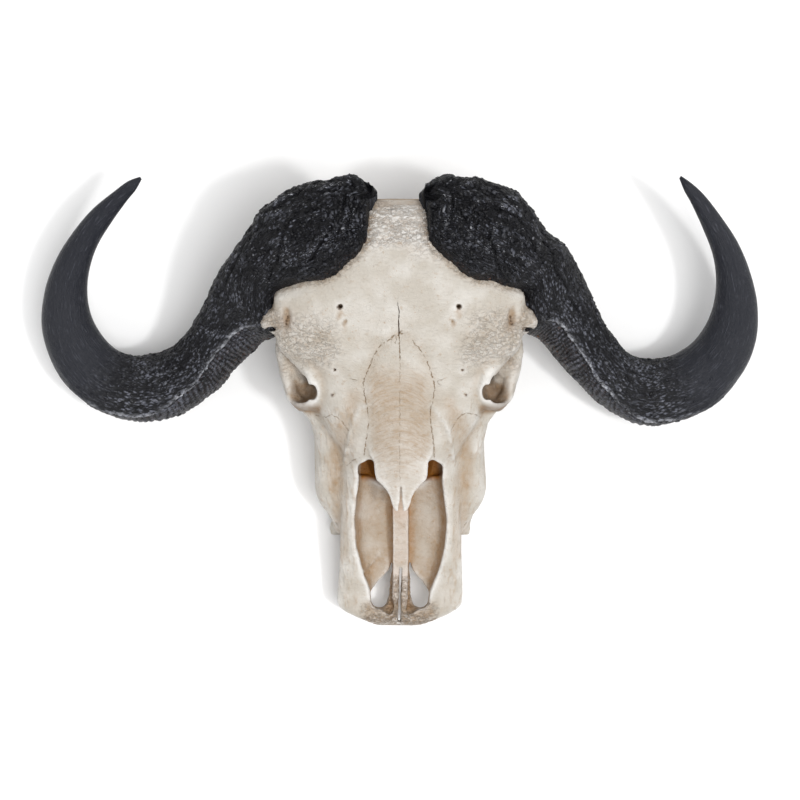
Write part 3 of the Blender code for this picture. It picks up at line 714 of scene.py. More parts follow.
@dataclass(frozen=True)
class HornFinish:
    """Weathered keratin: near black, satin on the hooks where it is rubbed smooth, dusty grey on the high points of
    the bosses, with painted highlights in short light dashes, along the fold's lip and on the growth rings.
    """

    black: str = "#0A0A0E"
    hook: str = "#1B1D25"
    # Grey of dust, also used for painted highlights on high points and ring tops
    dust: str = "#8A8D9A"
    chip: str = "#DCDEE6"
    rust: str = "#6B4023"
    strip: str = "#1C1C1E"
    roughness: tuple[float, float] = (0.4, 0.46)
    ior: float = 1.55
    gloss: float = 0.22
    # How wide each pattern's marks are
    fibre_mm: float = 1.5
    scale_mm: float = 2.7
    bend_mm: float = 5.0
    grit_mm: float = 2.2
    dash_mm: float = 1.2
    patch_mm: float = 26.0
    # How strongly each pattern colours the horn: a share, or a share and what it starts from
    strip_tone: float = 0.6
    fibre_tone: float = 0.16
    dust_tone: tuple[float, float] = (0.42, 0.1)
    chip_tone: tuple[float, float] = (0.75, 0.15)
    ring_tone: float = 0.2
    rim_tone: float = 0.75
    # How high each pattern stands, in parts of the relief
    scale_relief: float = 1.1
    fibre_relief: float = 0.55
    dash_relief: float = 0.3
    relief_mm: float = 2.4

    def make(self) -> bpy.types.Material:
        """The sheath's material."""
        made, tree, shader = started("weathered_keratin")
        run = read_from(tree, "run", "Vector")
        zone = add(tree, "split", read_from(tree, "zone", "Color")).node
        boss, ringed, edge = zone.outputs[:3]
        height, rim, upturned = (read_from(tree, name) for name in ("height", "rim", "upturned"))
        coarse_part = add(tree, "share", boss, 0.02, 0.25)

        long, coarse, short = (add(tree, "stretch", run, (share, 1.0, 1.0)) for share in (0.045, 0.5, 0.32))
        fibre = add(tree, "noise", Vector=long, Scale=1 / self.fibre_mm, Detail=4.0, Roughness=0.6)
        bend = add(tree, "noise", out="Color", Vector=coarse, Scale=1 / self.bend_mm, Detail=3.0)
        moved = add(tree, "vector_product_plus", bend, (4.0, 4.0, 4.0), coarse)
        cell = add(tree, "cells", Vector=moved, Scale=1 / self.scale_mm, Randomness=1.0)
        cell = add(tree, "share", cell, 0.6, 0.16)
        grit = add(tree, "noise", Vector=coarse, Scale=1 / self.grit_mm, Detail=5.0, Roughness=0.7)
        dash = add(tree, "noise", Vector=short, Scale=1 / self.dash_mm, Detail=3.0, Roughness=0.7)
        patch = add(tree, "noise", Vector=add(tree, "place"), Scale=1000 / self.patch_mm, Detail=4.0)

        colour = add(tree, "mix", coarse_part, linear(self.hook), linear(self.black))
        # Dust on the high points, only where they face up: real dust and painted highlight
        high = add(tree, "product_plus", height, 0.45, grit)
        worn = add(tree, "product", add(tree, "share", high, 0.42, 0.6), cell)
        amount = add(tree, "product_plus", add(tree, "share", patch, 0.3, 0.62), *self.dust_tone)
        for mask in (amount, coarse_part, upturned):
            worn = add(tree, "product", worn, mask)
        # Painted highlight: short light dashes on the high, upturned parts of the bosses and arms
        highlight_dashes = add(tree, "product", add(tree, "share", dash, 0.55, 0.68), add(tree, "share", high, 0.5, 0.8))
        spread = add(tree, "product_plus_clipped", boss, *self.chip_tone)
        for mask in (add(tree, "product", spread, coarse_part), upturned):
            highlight_dashes = add(tree, "product", highlight_dashes, mask)
        # Painted highlight on the tops of the growth rings
        lit = add(tree, "product", add(tree, "share", high, 0.5, 0.72), ringed)
        # Painted highlight along the fold's raised lip
        ragged = add(tree, "product", rim, add(tree, "share", grit, 0.38, 0.66))
        rust = add(tree, "product", add(tree, "share", dash, 0.55, 0.68), edge)
        fine = add(tree, "share", fibre, 0.56, 0.72)
        for covered, tone in ((add(tree, "product", ringed, self.strip_tone), self.strip),
                              (add(tree, "product", fine, self.fibre_tone), self.dust), (worn, self.dust),
                              (highlight_dashes, self.chip), (add(tree, "product", lit, self.ring_tone), self.dust),
                              (add(tree, "product_clipped", ragged, self.rim_tone), self.chip),
                              (rust, self.rust)):
            colour = add(tree, "mix", covered, colour, linear(tone))
        tree.links.new(colour, shader.inputs["Base Color"])
        tree.links.new(add(tree, "between", boss, *self.roughness), shader.inputs["Roughness"])
        shader.inputs["IOR"].default_value = self.ior
        shader.inputs["Specular IOR Level"].default_value = self.gloss

        relief = add(tree, "product", add(tree, "product_plus", cell, self.scale_relief, grit), boss)
        relief = add(tree, "product_plus", fibre, self.fibre_relief, relief)
        relief = add(tree, "product_plus", dash, self.dash_relief, relief)
        bump = add(tree, "ShaderNodeBump", Height=relief, Strength=1.0, Distance=self.relief_mm * MM)
        tree.links.new(bump, shader.inputs["Normal"])
        return made


@dataclass(frozen=True)
class ToothFinish:
    """Tooth: cool white enamel with faint upright lines, over tan cement where it is ground down or rooted."""

    enamel: str = "#CFCDC8"
    cement: str = "#B3A58F"
    roughness: float = 0.34
    ior: float = 1.62
    line_mm: float = 1.4
    cloud_mm: float = 9.0
    cloud_tone: float = 0.5
    line_tone: float = 0.3
    cloud_relief: float = 0.6
    relief_mm: float = 0.5
    relief_strength: float = 0.5

    def make(self) -> bpy.types.Material:
        """The tooth's material."""
        made, tree, shader = started("worn_enamel")
        place = add(tree, "place")
        long = add(tree, "stretch", place, (1.0, 1.0, 0.12))
        line = add(tree, "noise", Vector=long, Scale=1000 / self.line_mm, Detail=4.0)
        cloud = add(tree, "noise", Vector=place, Scale=1000 / self.cloud_mm, Detail=5.0)
        bare = add(tree, "product_plus_clipped", add(tree, "share", cloud, 0.45, 0.7), self.cloud_tone,
                   read_from(tree, "bare"))
        colour = add(tree, "mix", bare, linear(self.enamel), linear(self.cement))
        fine = add(tree, "product", add(tree, "share", line, 0.5, 0.7), self.line_tone)
        colour = add(tree, "mix", fine, colour, linear(self.cement))
        tree.links.new(colour, shader.inputs["Base Color"])
        shader.inputs["Roughness"].default_value = self.roughness
        shader.inputs["IOR"].default_value = self.ior
        height = add(tree, "product_plus", cloud, self.cloud_relief, line)
        bump = add(tree, "ShaderNodeBump", Height=height, Strength=self.relief_strength,
                   Distance=self.relief_mm * MM)
        tree.links.new(bump, shader.inputs["Normal"])
        return made


@dataclass(frozen=True)
class TableFinish:
    """Matt white studio board under the skull: plain, with only a whisper of tooth in its surface."""

    white: str = "#F9F9F9"
    roughness: float = 0.9
    gloss: float = 0.1

    def make(self) -> bpy.types.Material:
        """The table's material."""
        made, _, shader = started("white_board")
        shader.inputs["Base Color"].default_value = linear(self.white)
        shader.inputs["Roughness"].default_value = self.roughness
        shader.inputs["Specular IOR Level"].default_value = self.gloss
        return made


@dataclass
class Skull:
    """The bone, one piece: forehead, sockets, cheeks, nose, muzzle, palate and base."""

    cell: float = 1.8
    low: tuple = (-170.0, -272.0, -6.0)
    high: tuple = (170.0, 240.0, 240.0)
    most_triangles: int = 190_000
    ridge: Points = ((232, 205), (215, 217), (200, 222), (172, 226), (140, 226), (115, 221), (95, 214),
                     (80, 208.5), (60, 205), (46, 201.5), (0, 189), (-57, 170), (-100, 154), (-124, 145))
    forehead: Points = ((224, 82, 206, 150), (214, 96, 217, 130), (180, 110, 226, 118), (140, 124, 226, 122),
                        (115, 138, 221, 132), (95, 141, 214, 140), (72, 140, 207, 146), (54, 136, 203, 146),
                        (42, 116, 199, 128), (28, 104, 195, 100), (0, 97, 186, 80), (-20, 90, 178, 76),
                        (-45, 77, 165, 74), (-72, 62, 148, 70))
    braincase: Points = ((222, 76, 190, 60), (190, 80, 195, 50), (150, 66, 190, 54), (100, 56, 190, 66),
                         (60, 48, 190, 70))
    nose: Points = ((80, 62, 208, 110), (46, 60, 201, 80), (0, 55, 188, 60), (-57, 50, 168, 50),
                    (-92, 50, 146, 45))
    cheek: Points = ((16, 96, 150, 75), (-10, 99, 146, 50), (-25, 99.5, 136, 34), (-40, 98, 124, 27),
                     (-75, 99, 110, 26), (-100, 100, 100, 26), (-112, 98, 94, 26), (-122, 94, 88, 26),
                     (-131, 86.5, 82, 26), (-141, 80, 74, 27), (-152, 75, 68, 30))
    muzzle: Points = ((-60, 64, 136, 50), (-90, 67.5, 124, 42), (-110, 69, 114, 42), (-150, 70, 97, 44),
                      (-190, 71, 80, 38), (-225, 73, 63, 30), (-237, 73.5, 57, 28),
                      (-243, 71.5, 54, 27), (-247, 67, 52, 26), (-252, 57, 49, 26), (-258, 45, 46, 26),
                      (-262, 34, 43, 27), (-265, 24, 41, 28))
    opening: Points = ((-250, 14, 200, 44), (-240, 33, 200, 38), (-225, 37, 200, 40), (-214, 40, 200, 43),
                       (-205, 44, 200, 46), (-190, 48, 200, 50), (-170, 52.5, 200, 56), (-140, 54.5, 200, 66),
                       (-110, 50.5, 200, 80), (-86, 47.5, 200, 94))
    # The bars beside the open nose: where their ridge lies, and how steeply they fall outwards from it along Y
    bar_ridge: float = 55
    bar_inner: float = 50
    bar_back: float = -88
    bar_slope: Points = ((-215, 0), (-196, 0.35), (-178, 0.8), (-105, 0.9), (-86, 0.4), (-72, 0))
    room_back: float = -86
    notch: Points = ((34, -84, 120, 8), (40, -82, 120, 8.5), (42, -78, 120, 6.5), (36, -74, 120, 6))
    notch_floor: float = 90
    nasals: Points = ((84, 1), (70, 20), (57, 31), (32, 38), (0, 40), (-45, 39), (-62, 36), (-70, 31),
                      (-86, 29.6), (-92, 28), (-95, 23), (-102, 17), (-111, 12.5), (-121, 10), (-127, 6))
    nasal_thickness: float = 6.4
    nasal_split: Points = ((0, -99, 150, 0.4), (0, -114, 150, 1.2), (0, -131, 150, 3.4))
    arch: float = 0.0085
    vomer: Points = ((0, 150), (-90, 118), (-122, 98), (-160, 80), (-186, 66), (-205, 57), (-225, 51),
                     (-240, 48), (-253, 45))
    zygoma: Points = ((122, 12, 118, 7.5), (126, 50, 104, 8), (113, 100, 90, 8), (84, 146, 90, 13))
    malar: Points = ((124, 12, 118, 6), (109, -4, 117, 8), (91, -22, 108, 11), (80, -50, 95, 14))
    orbit_floor: Points = ((116, 12, 108, 8), (110, 36, 97, 10), (82, 52, 106, 16))
    knob: Points = ((122, 92, 182, 13), (142, 94, 177, 10.5), (147, 88.5, 174, 10), (141, 84, 174, 9.5))
    knob_pit: tuple = ((127, 90, 200), (4, 12, 5))
    # The gap under the knob, between it and the rim that carries it
    knob_gap: Points = ((145, 79.4, 192, 2.7), (145, 80.4, 168, 2.4))
    base: Points = ((0, 105, 70, 22), (0, 205, 60, 24))
    paracondylar: Points = ((56, 190, 70, 14), (58, 186, 30, 8.5), (56, 180, 5.9, 5.3))
    pterygoid: Points = ((26, -16, 54, 16), (23, 40, 52, 15), (18, 92, 54, 14))
    tooth_ridge: Points = ((70, -148, 38, 9.5), (74, -100, 38, 13), (75, -20, 40, 13))
    fissure: Points = ((10.4, -191, 45, 0.9), (12, -200, 45, 2.2), (16, -209, 45, 4.6), (20, -218, 45, 8),
                       (23.5, -228, 45, 11), (24, -235, 45, 9.5))
    orbit_centre: tuple = (115, 28, 150)
    orbit_faces: tuple = (0.80, -0.38, 0.46)
    orbit_rim: tuple = (31.5, 6.0)
    socket_bowl: tuple = ((104, 28, 139), (32, 40, 27))
    orbit_bar: Points = ((132, 74, 158, 8), (133.5, 54, 152, 7), (129, 31, 146, 6.5), (123, 8, 137, 6),
                         (113, -7, 127, 6))
    brow_hood: Points = ((121, 72, 172, 13), (114, 50, 170, 10), (104, 36, 170, 9))
    socket_fill: Points = ((124, 66, 148, 11), (121, 44, 139, 11), (117, 26, 131, 11), (110, 12, 120, 9))
    socket_roof: tuple = ((119, 55, 145), (18, 25, 13))
    socket_pocket: tuple = ((111, 9, 146), (14, 12.5, 22))
    tear_notch: tuple = ((99, 9, 168), (5.5, 9, 26))
    temple: Points = ((127, 114, 184, 15), (129, 101, 182, 13))
    slit: tuple = (1.3, -260.0, -196.0)
    # Small holes for vessels: x, y, height of the surface, radius, length of the groove below it, and depth
    foramina: Points = ((67, 104, 219, 2.7, 10, 14), (61.5, 86.5, 211, 2.2, 4, 1.5), (72, 34, 187, 1.2, 0, 7),
                        (75.5, 5.7, 181, 1.1, 0, 5), (125.3, 93.4, 196, 0.9, 0, 4), (125.8, 89.6, 195, 0.9, 0, 4),
                        (126.7, 85.6, 194, 1.0, 0, 4), (0.3, -149.4, 99, 1.5, 0, 5), (4.6, -149.4, 98, 1.1, 0, 3),
                        (0.3, -162.2, 94, 1.2, 0, 3), (0.6, -177.2, 88, 1.3, 0, 3))
    # The opening low on the side of the muzzle, over the first teeth
    side_hole: Points = ((80, -152, 58, 4.2), (58, -132, 57, 3.4))
    crack: Points = ((-2.2, 129), (-1.8, 120.6), (-2.7, 107.3), (-0.8, 98.4), (-1.6, 89.6), (-1.1, 76.2))
    midline: Points = ((-1.1, 76.2), (0.0, 44.9), (-0.6, 16.9), (0.0, -22.6), (-0.6, -56.7), (0.0, -91.0))
    leaf_left: Points = ((-1.1, 76.2), (-11.2, 68.4), (-22.4, 60.6), (-29.8, 49.5), (-36.1, 33.8), (-41.8, 20.3),
                         (-40.7, 10.2), (-37.4, -9.1), (-35.1, -21.5), (-37.5, -39.7), (-39.8, -53.5), (-41, -66))
    leaf_right: Points = ((0.0, 76.2), (10.1, 70.6), (22.5, 57.3), (31.5, 41.7), (35.0, 30.5), (39.0, 20.3),
                          (38.4, 5.7), (34.0, -13.6), (35.2, -29.5), (37.5, -42.0), (38.7, -58.0), (38.7, -66))
    seams: tuple = (((-97.1, -17.1), (-90.3, -19.4), (-83.4, -19.4), (-78.8, -16.6), (-72.0, -19.4), (-67.4, -22.9),
                     (-62.9, -28.6), (-58.3, -35.4)),
                    ((92.6, -19.4), (86.8, -17.1), (81.1, -16.0), (75.4, -14.9), (69.7, -17.1), (65.1, -21.7),
                     (62.9, -26.3), (59.4, -32.0)),
                    ((-54.2, 23.7), (-41.8, 20.3)), ((38.9, 20.3), (49.7, 23.7)),
                    ((-46.9, -66.3), (-54.9, -69.7), (-60.6, -75.5)))
    # The thin raised edge on the floor of the open nose
    shelf: Points = ((-42.1, -199.9), (-32.7, -190.6), (-22.2, -177.7))
    # Paler places on the floor of the open nose: x, y and half sizes
    pale_spots: tuple = ((-43, -130, 11, 20), (-37, -167, 9, 15), (36, -131, 12, 22), (30, -172, 8, 13))
    # How tan, and how wrinkled, each kind of surface is; the tan of the back edge, the eye socket and its pocket,
    # and the faces that look down is painted shade
    tanned: tuple = (("crest", 0.04), ("edge", 0.45), ("nasal", 0.55), ("cavity", 0.62), ("rim", 0.45),
                     ("knob", 0.22), ("lip", 0.1), ("orbit", 0.25), ("near", 0.25), ("under", 0.35), ("back", 0.5), ("pit", 0.5),
                     ("socket", 0.9))
    wrinkled: tuple = (("crest", 0.5), ("lip", 0.5), ("ripple", 0.6), ("under", 0.3))
    # How convex the bone is near each point, at two widths, for its painted shade and highlight
    bulges: list = field(default_factory=list)
    # The raised edges that run down beside the nasal bones
    crests: tuple = (((-39.9, -6.8), (-44.5, -8.0), (-51.3, -20.5), (-55.9, -31.9), (-61.6, -52.4),
                      (-63.8, -67.3)),
                     ((35.3, -5.7), (37.6, -8.0), (46.7, -20.5), (54.7, -31.9), (59.3, -52.4), (61.6, -67.3)))

    def outer(self, space: Space) -> Array:
        """Forehead, braincase, face, cheeks and muzzle, not yet hollowed out."""
        bone = space.loft(self.forehead, 2.7, 6, 16)
        bone = carved(bone, space.ball((120, 118, 112), (50, 44, 52)), 14)
        bone = blended(bone, space.loft(self.braincase, 2.5, 9, 18), 16)
        bone = blended(bone, space.ball((0, 186, 122), (98, 38, 80)), 16)
        bone = blended(bone, space.loft(self.nose, 2.3, 9, 10), 12)
        bone = blended(bone, space.loft(self.cheek, 3.4, 4, 6), 15)
        bone = blended(bone, space.loft(self.muzzle, 3.4, 3, 4), 9)
        steep = space.along(self.bar_slope, 1, 3)
        top = space.along(self.muzzle, 2, 3) + 0.6 - steep * np.clip(space.x - self.bar_ridge, 0, 17)
        top = top + 4 * np.clip(self.bar_inner - space.x, 0, 60) + 4 * np.clip(space.y - self.bar_back, 0, 60)
        return carved(bone, (top - space.z) / np.sqrt(1 + steep**2), 4)

    def with_orbits(self, space: Space, bone: Array) -> Array:
        """Eye sockets with their rims, the cheek's bar and the knob under each horn.

        Args:
            space: The grid.
            bone: Distance to the bone so far.

        Returns:
            Distance to the bone with them.
        """
        bone = blended(bone, space.limb(self.malar), 9)
        bone = blended(bone, space.limb(self.orbit_floor), 10)
        facing = np.array(self.orbit_faces) / np.linalg.norm(self.orbit_faces)
        bone = blended(bone, space.ring(self.orbit_centre, facing, *self.orbit_rim), 8)
        mouth = np.array(self.orbit_centre) + 60 * facing
        floor = np.array(self.orbit_centre) - 20 * facing
        bone = blended(bone, space.ball(*self.socket_bowl), 7)
        bone = carved(bone, space.limb(((*floor, 21), (*self.orbit_centre, 26), (*mouth, 28))), 4)
        bone = blended(bone, space.ball(*self.socket_roof), 8)
        bone = blended(bone, space.limb(self.brow_hood), 7)
        bone = carved(bone, space.ball(*self.socket_pocket), 4)
        bone = carved(bone, space.ball(*self.tear_notch), 3)
        bone = blended(bone, space.limb(self.socket_fill), 9)
        bone = blended(bone, space.limb(self.orbit_bar), 7)
        bone = blended(bone, space.limb(self.zygoma, (1, 1, 1.3)), 8)
        bone = blended(bone, space.limb(self.temple), 8)
        bone = blended(bone, space.limb(self.knob), 6)
        bone = carved(bone, space.ball(*self.knob_pit), 5)
        return carved(bone, space.limb(self.knob_gap, (2.6, 1, 1)), 1)

    def with_base(self, space: Space, bone: Array) -> Array:
        """Condyles, processes, bullae, pterygoid plates, palate and the hole for the spine.

        Args:
            space: The grid.
            bone: Distance to the bone so far.

        Returns:
            Distance to the bone with them.
        """
        bone = blended(bone, space.limb(self.base, (1.2, 1, 0.8)), 12)
        bone = blended(bone, space.ball((31, 212, 56), (20, 18, 25)), 7)
        bone = blended(bone, space.limb(self.paracondylar, (1, 1.3, 1)), 8)
        bone = blended(bone, space.ball((46, 156, 50), (14, 17, 15)), 6)
        bone = blended(bone, space.limb(self.tooth_ridge), 8)
        bone = carved(bone, space.ball((0, -88, 4), (56, 128, 42)), 8)
        bone = blended(bone, space.limb(self.pterygoid, (0.36, 1, 1)), 6)
        bone = carved(bone, space.limb(((0, 8, 82, 15), (0, 60, 62, 16), (0, 112, 32, 17))), 5)
        return carved(bone, space.limb(((0, 232, 74, 19), (0, 176, 80, 17))), 4)

    def with_nose(self, space: Space, bone: Array) -> Array:
        """The nasal passage, its open front, the arched nasal bones and the wall down the middle.

        Args:
            space: The grid.
            bone: Distance to the bone so far.

        Returns:
            Distance to the bone with them.
        """
        arch = space.along(self.ridge, 1, 9) - self.arch * space.x**2
        passage = space.limb(((0, -70, 112, 44), (0, 40, 122, 38)))
        bone = carved(bone, np.maximum(passage, space.z - arch + 9), 3)
        opening = space.loft(self.opening, 5.0, 4, 2)
        bone = carved(bone, np.maximum(opening, space.y - self.room_back), 3)
        notch = np.maximum(space.limb(self.notch, (1, 1, 400)), self.notch_floor - space.z)
        notch = np.maximum(notch, self.room_back - 1 - space.y)
        bone = carved(bone, notch, 2)
        plate = np.abs(space.z - arch + self.nasal_thickness / 2) - self.nasal_thickness / 2
        plate = carved(plate, space.along(self.nasals, 1, 1.0) - space.x, 2.0)
        plate = carved(plate, space.limb(self.nasal_split, (1, 1, 400)), 0.8)
        plate = np.maximum(plate, np.maximum(space.y - self.nasals[0][0], self.nasals[-1][0] - space.y))
        bone = blended(bone, plate, 2)
        wall = np.maximum(space.x - 9, space.z - space.along(self.vomer, 1, 5))
        wall = np.maximum(wall, np.maximum(-253 - space.y, np.maximum(space.y - 40, 36 - space.z)))
        bone = blended(bone, wall, 4)
        holes = np.maximum(space.limb(self.fissure, (1, 1, 400)), space.z - 70)
        bone = carved(bone, holes, 2)
        half, front, back = self.slit
        gap = np.maximum(space.x - half, np.maximum(space.y - back, front - space.y))
        return carved(bone, np.maximum(gap, space.z - 90), 0.8)

    def with_holes(self, space: Space, bone: Array) -> Array:
        """The small openings for vessels, each with the groove that runs from it.

        Args:
            space: The grid.
            bone: Distance to the bone so far.

        Returns:
            Distance to the bone with them.
        """
        for x, y, z, radius, groove, depth in self.foramina:
            hole = ((x, y, z + 6, radius), (x * 0.97, y + 2, z - depth, radius * 0.8))
            bone = carved(bone, space.limb(hole), 1.5)
            if groove:
                trough = ((x, y, z + radius * 0.5, radius * 0.8),
                          (x - 1, y - groove, z + radius * 0.35, radius * 0.3))
                bone = carved(bone, space.limb(trough), 2)
        return carved(bone, space.limb(self.side_hole), 3)

    def surface(self) -> bpy.types.Mesh:
        """The bone's mesh, thinned where it is smooth."""
        space = Space(self.low, self.high, self.cell)
        bone = self.outer(space)
        for step in (self.with_orbits, self.with_base, self.with_nose, self.with_holes):
            bone = step(space, bone)
        grid = openvdb.FloatGrid(60.0)
        grid.copyFromArray(np.ascontiguousarray(bone, np.float32))
        points, quads = grid.convertToQuads(isovalue=0.0)
        points = space.settled(bone, points * self.cell + self.low)
        mesh = solid_mesh("bone_surface", points, quads[:, ::-1].tolist())
        count = 2 * len(mesh.polygons)
        if count > self.most_triangles:
            mesh = thinned(mesh, self.most_triangles / count)
        near = np.clip(bone, -8, 8)
        self.bulges = [space.read(space.softened(near, reach), points_of(mesh)) for reach in (2, 5)]
        return mesh

    def relief(self, points: Array, normals: Array, masks: dict[str, Array]) -> Array:
        """How far the surface stands in or out from the plain form.

        Args:
            points: The mesh's points.
            normals: Their outward directions.
            masks: The shares of each kind of surface.

        Returns:
            One height a point.
        """
        plan = points[:, :2]
        top = eased((normals[:, 2] - 0.1) / 0.3) * (points[:, 2] > 100)
        height = 0.45 * uneven(points, 17, 31) + 0.22 * uneven(points, 8, 32)
        slant = np.where(points[:, 0] > 0, 0.42, -0.42)
        along = plan[:, 0] * np.cos(slant) + plan[:, 1] * np.sin(slant)
        across = plan[:, 1] * np.cos(slant) - plan[:, 0] * np.sin(slant)
        warp = 2.2 * uneven(points, 11, 33)
        bands = np.column_stack((along / 13, (across + warp) / 4.6, points[:, 2] / 40))
        height += masks["crest"] * (3.4 * ridged(bands, 1, 34) - 1.5)
        folds = np.column_stack((along / 6.5, (across + warp) / 3.6, points[:, 2] / 9))
        rough = 1.3 * ridged(folds, 1, 35) + 0.8 * ridged(points, 3.4, 36) - 1.0
        height += masks["rough"] * rough
        knit = ridged(np.column_stack((points[:, 0] / 1.5, points[:, 1], points[:, 2] / 1.5)), 4.6, 39)
        height += (0.25 + 0.3 * eased(uneven(points, 30, 40))) * (knit - 0.35) * (1 - masks["cavity"])
        for line in (self.leaf_left, self.leaf_right):
            signed, past = line_reach(plan, line)
            deep = eased((plan[:, 1] + 20) / 90) + 0.35
            height -= top * deep * 1.9 * np.exp(-((signed / 4.5) ** 2)) * (past < 3)
        signed, past = line_reach(plan, self.shelf)
        away = np.hypot(signed, past)
        groove = np.exp(-(((signed + 3.5) / 2.5) ** 2)) * (past < 3)
        height += masks["cavity"] * (2.6 * np.exp(-((away / 1.3) ** 2)) - 1.6 * groove)
        height -= 2.4 * masks["dip"]
        for line in self.crests:
            signed, past = line_reach(plan, line)
            lift = np.exp(-((signed / 2.4) ** 2)) * 3.4 - np.exp(-((signed / 9.0) ** 2)) * 2.3
            height += top * lift * eased(1 - past / 9)
        height -= 2.2 * masks["valley"]
        arcs = (points[:, 1] + 0.02 * points[:, 0] ** 2) / 3.6
        ripple = np.column_stack((points[:, 0] / 14, arcs, points[:, 2] / 20))
        height += masks["ripple"] * (1.5 * ridged(ripple, 1, 37) - 0.7)
        pitted = eased((ridged(points, 5.5, 38) - 0.8) / 0.2)
        return height - 1.3 * pitted * np.clip(masks["lip"] + 0.5 * masks["rough"], 0, 1)

    def masks(self, points: Array, normals: Array, horns: Array) -> dict[str, Array]:
        """Where each kind of bone surface lies.

        Args:
            points: The mesh's points.
            normals: Their outward directions.
            horns: Distance from each point to the nearest sheath.

        Returns:
            A share a point for each kind.
        """
        x = np.abs(points[:, 0] + drift(points[:, 1], points[:, 2]))
        y, z = points[:, 1], points[:, 2]
        stray = 9 * uneven(points, 26, 41) + 5 * uneven(points, 9, 42) + 2 * uneven(points, 3.5, 43)
        up = eased((normals[:, 2] + 0.1) / 0.4)
        roof = np.interp(y, *np.array(sorted(self.ridge)).T)
        deep = roof - self.arch * x * x - z
        wide = np.interp(y, *np.array(sorted(self.opening))[:, :2].T)
        leaf = np.interp(y, *np.array(sorted(self.nasals)).T)
        bar = np.interp(y, *np.array(sorted(self.muzzle))[:, [0, 2]].T)
        from_orbit = np.linalg.norm(np.column_stack((x, y, z)) - self.orbit_centre, axis=1)
        from_pocket = np.linalg.norm(np.column_stack((x - 109, y - 10, z - 138)), axis=1)
        from_knob = np.linalg.norm(np.column_stack((x, y, z)) - self.knob_pit[0], axis=1)
        found = {
            "crest": up * band(y + stray, 170, 219, 20) * (z > 190),
            # Painted shade: the band where the crest turns down at the back
            "edge": band(y, 217, 260, 4) * (z > 120),
            "nasal": up * band(y + stray, -140, 30, 40) * eased((41 - x + 0.4 * stray) / 16) * (deep < 14)
            * (0.45 + 0.55 * eased((y + 95 + stray) / 50)),
            "cavity": band(y, -246, -80, 12) * eased((wide + 6 - x) / 4) * eased((bar + 0.3 * stray - 3 - z) / 7)
            * (z > 30),
            # The passage under the nasal bones: brown, partly its stain and partly painted shade
            "room": band(y, -92, 90, 8) * eased((np.maximum(leaf + 7, 47 * (y < -66)) - x) / 3)
            * eased((deep - 10) / 6) * eased((z - 44) / 10),
            # Painted shade in the eye socket and in its pocket
            "orbit": eased((30 - from_orbit) / 8) * (x > 60),
            "socket": eased((34 - from_pocket) / 9) * eased((27 + 0.4 * stray - y) / 17) * eased((164 - z) / 16)
            * eased((128 - x) / 6) * (x > 60),
            "knob": eased((24 - np.linalg.norm(np.column_stack((x, y, z)) - self.knob[1][:3], axis=1)) / 8),
            "pit": (from_knob < 40) * np.exp(-((x - 127) / 6.5) ** 2 - ((y - 89) / 12) ** 2) * up,
            "lip": eased((-253 - 0.004 * x * x + 0.12 * x - y + 0.35 * stray) / 4),
            "dip": band(y + 0.2 * stray, -252.5, -235, 8) * eased((44 + 0.5 * stray - x) / 10) * up,
            # Painted shade under the overhanging nasal tips
            "tips_shade": (x < 11) * band(y, -136, -96, 14) * eased((deep - 16) / 6),
            "ripple": up * np.clip(band(y, -258, -206, 10) * (x < 16)
                                   + 0.6 * band(y, -268, -238, 8) * (x < 46), 0, 1),
            "streak": band(y + stray, -250, -10, 24) * eased((x - 44) / 10),
            # Painted shade on faces that look down
            "under": eased((-normals[:, 2] - 0.1) / 0.5),
            "back": eased((y - 205) / 14) * (z < 195),
            "near": eased((9 - horns) / 8),
        }
        # Near the walls of the open nose, low down: tan and brown, partly stain and partly painted shade
        wall = np.minimum(np.abs(wide - x), np.abs(x - 9))
        found["rim"] = found["cavity"] * eased((9 + 0.4 * stray - wall) / 7) * (z < bar - 8)
        pale = [np.exp(-(((points[:, 0] - px) / a) ** 2) - ((y - py) / b) ** 2)
                for px, py, a, b in self.pale_spots]
        found["pale"] = found["cavity"] * np.clip(sum(pale), 0, 1)
        spots = eased((uneven(points, 5, 46) - 0.05) / 0.4)
        found["pale"] = np.maximum(found["pale"], found["cavity"] * (x < 10.5) * (0.45 + 0.5 * spots))
        # The valley beside the nose: a groove in the relief, with tan painted shade in it
        side = np.interp(y, [-90, -68, -32, -8, 20], [66, 66, 57, 46, 42])
        beside = np.exp(-(((x - side - 11 - 0.4 * stray) / 8) ** 2))
        found["valley"] = band(y + stray, -100, 5, 30) * beside * up
        brow = band(y + stray, 38, 92, 34) * band(x + stray, 74, 150, 30)
        rough = 0.2 * found["knob"] + 0.55 * found["near"] + 0.42 * brow + 0.35 * found["back"]
        found["rough"] = np.clip(rough, 0, 1)
        return found

    def dress(self, mesh: bpy.types.Mesh, horns: Array) -> None:
        """Give the surface its relief and the shares that its material reads.

        Args:
            mesh: The bone's mesh.
            horns: Points of the sheaths.
        """
        points, normals = points_of(mesh), normals_of(mesh)
        masks = self.masks(points, normals, nearest(points, horns))
        height = self.relief(points, normals, masks)
        points = points + normals * height[:, None]
        mesh.vertices.foreach_set("co", ((points + np.array(STAND)) * MM).astype(np.float32).ravel())
        mesh.update()
        plan = points[:, :2]
        x = np.abs(points[:, 0] + drift(points[:, 1], points[:, 2]))
        top = eased((normals[:, 2] - 0.15) / 0.2) * (points[:, 2] > 95)
        tan = sum(part * masks[name] for name, part in self.tanned)
        hole = np.zeros(len(points))
        groove_shade = np.zeros(len(points))
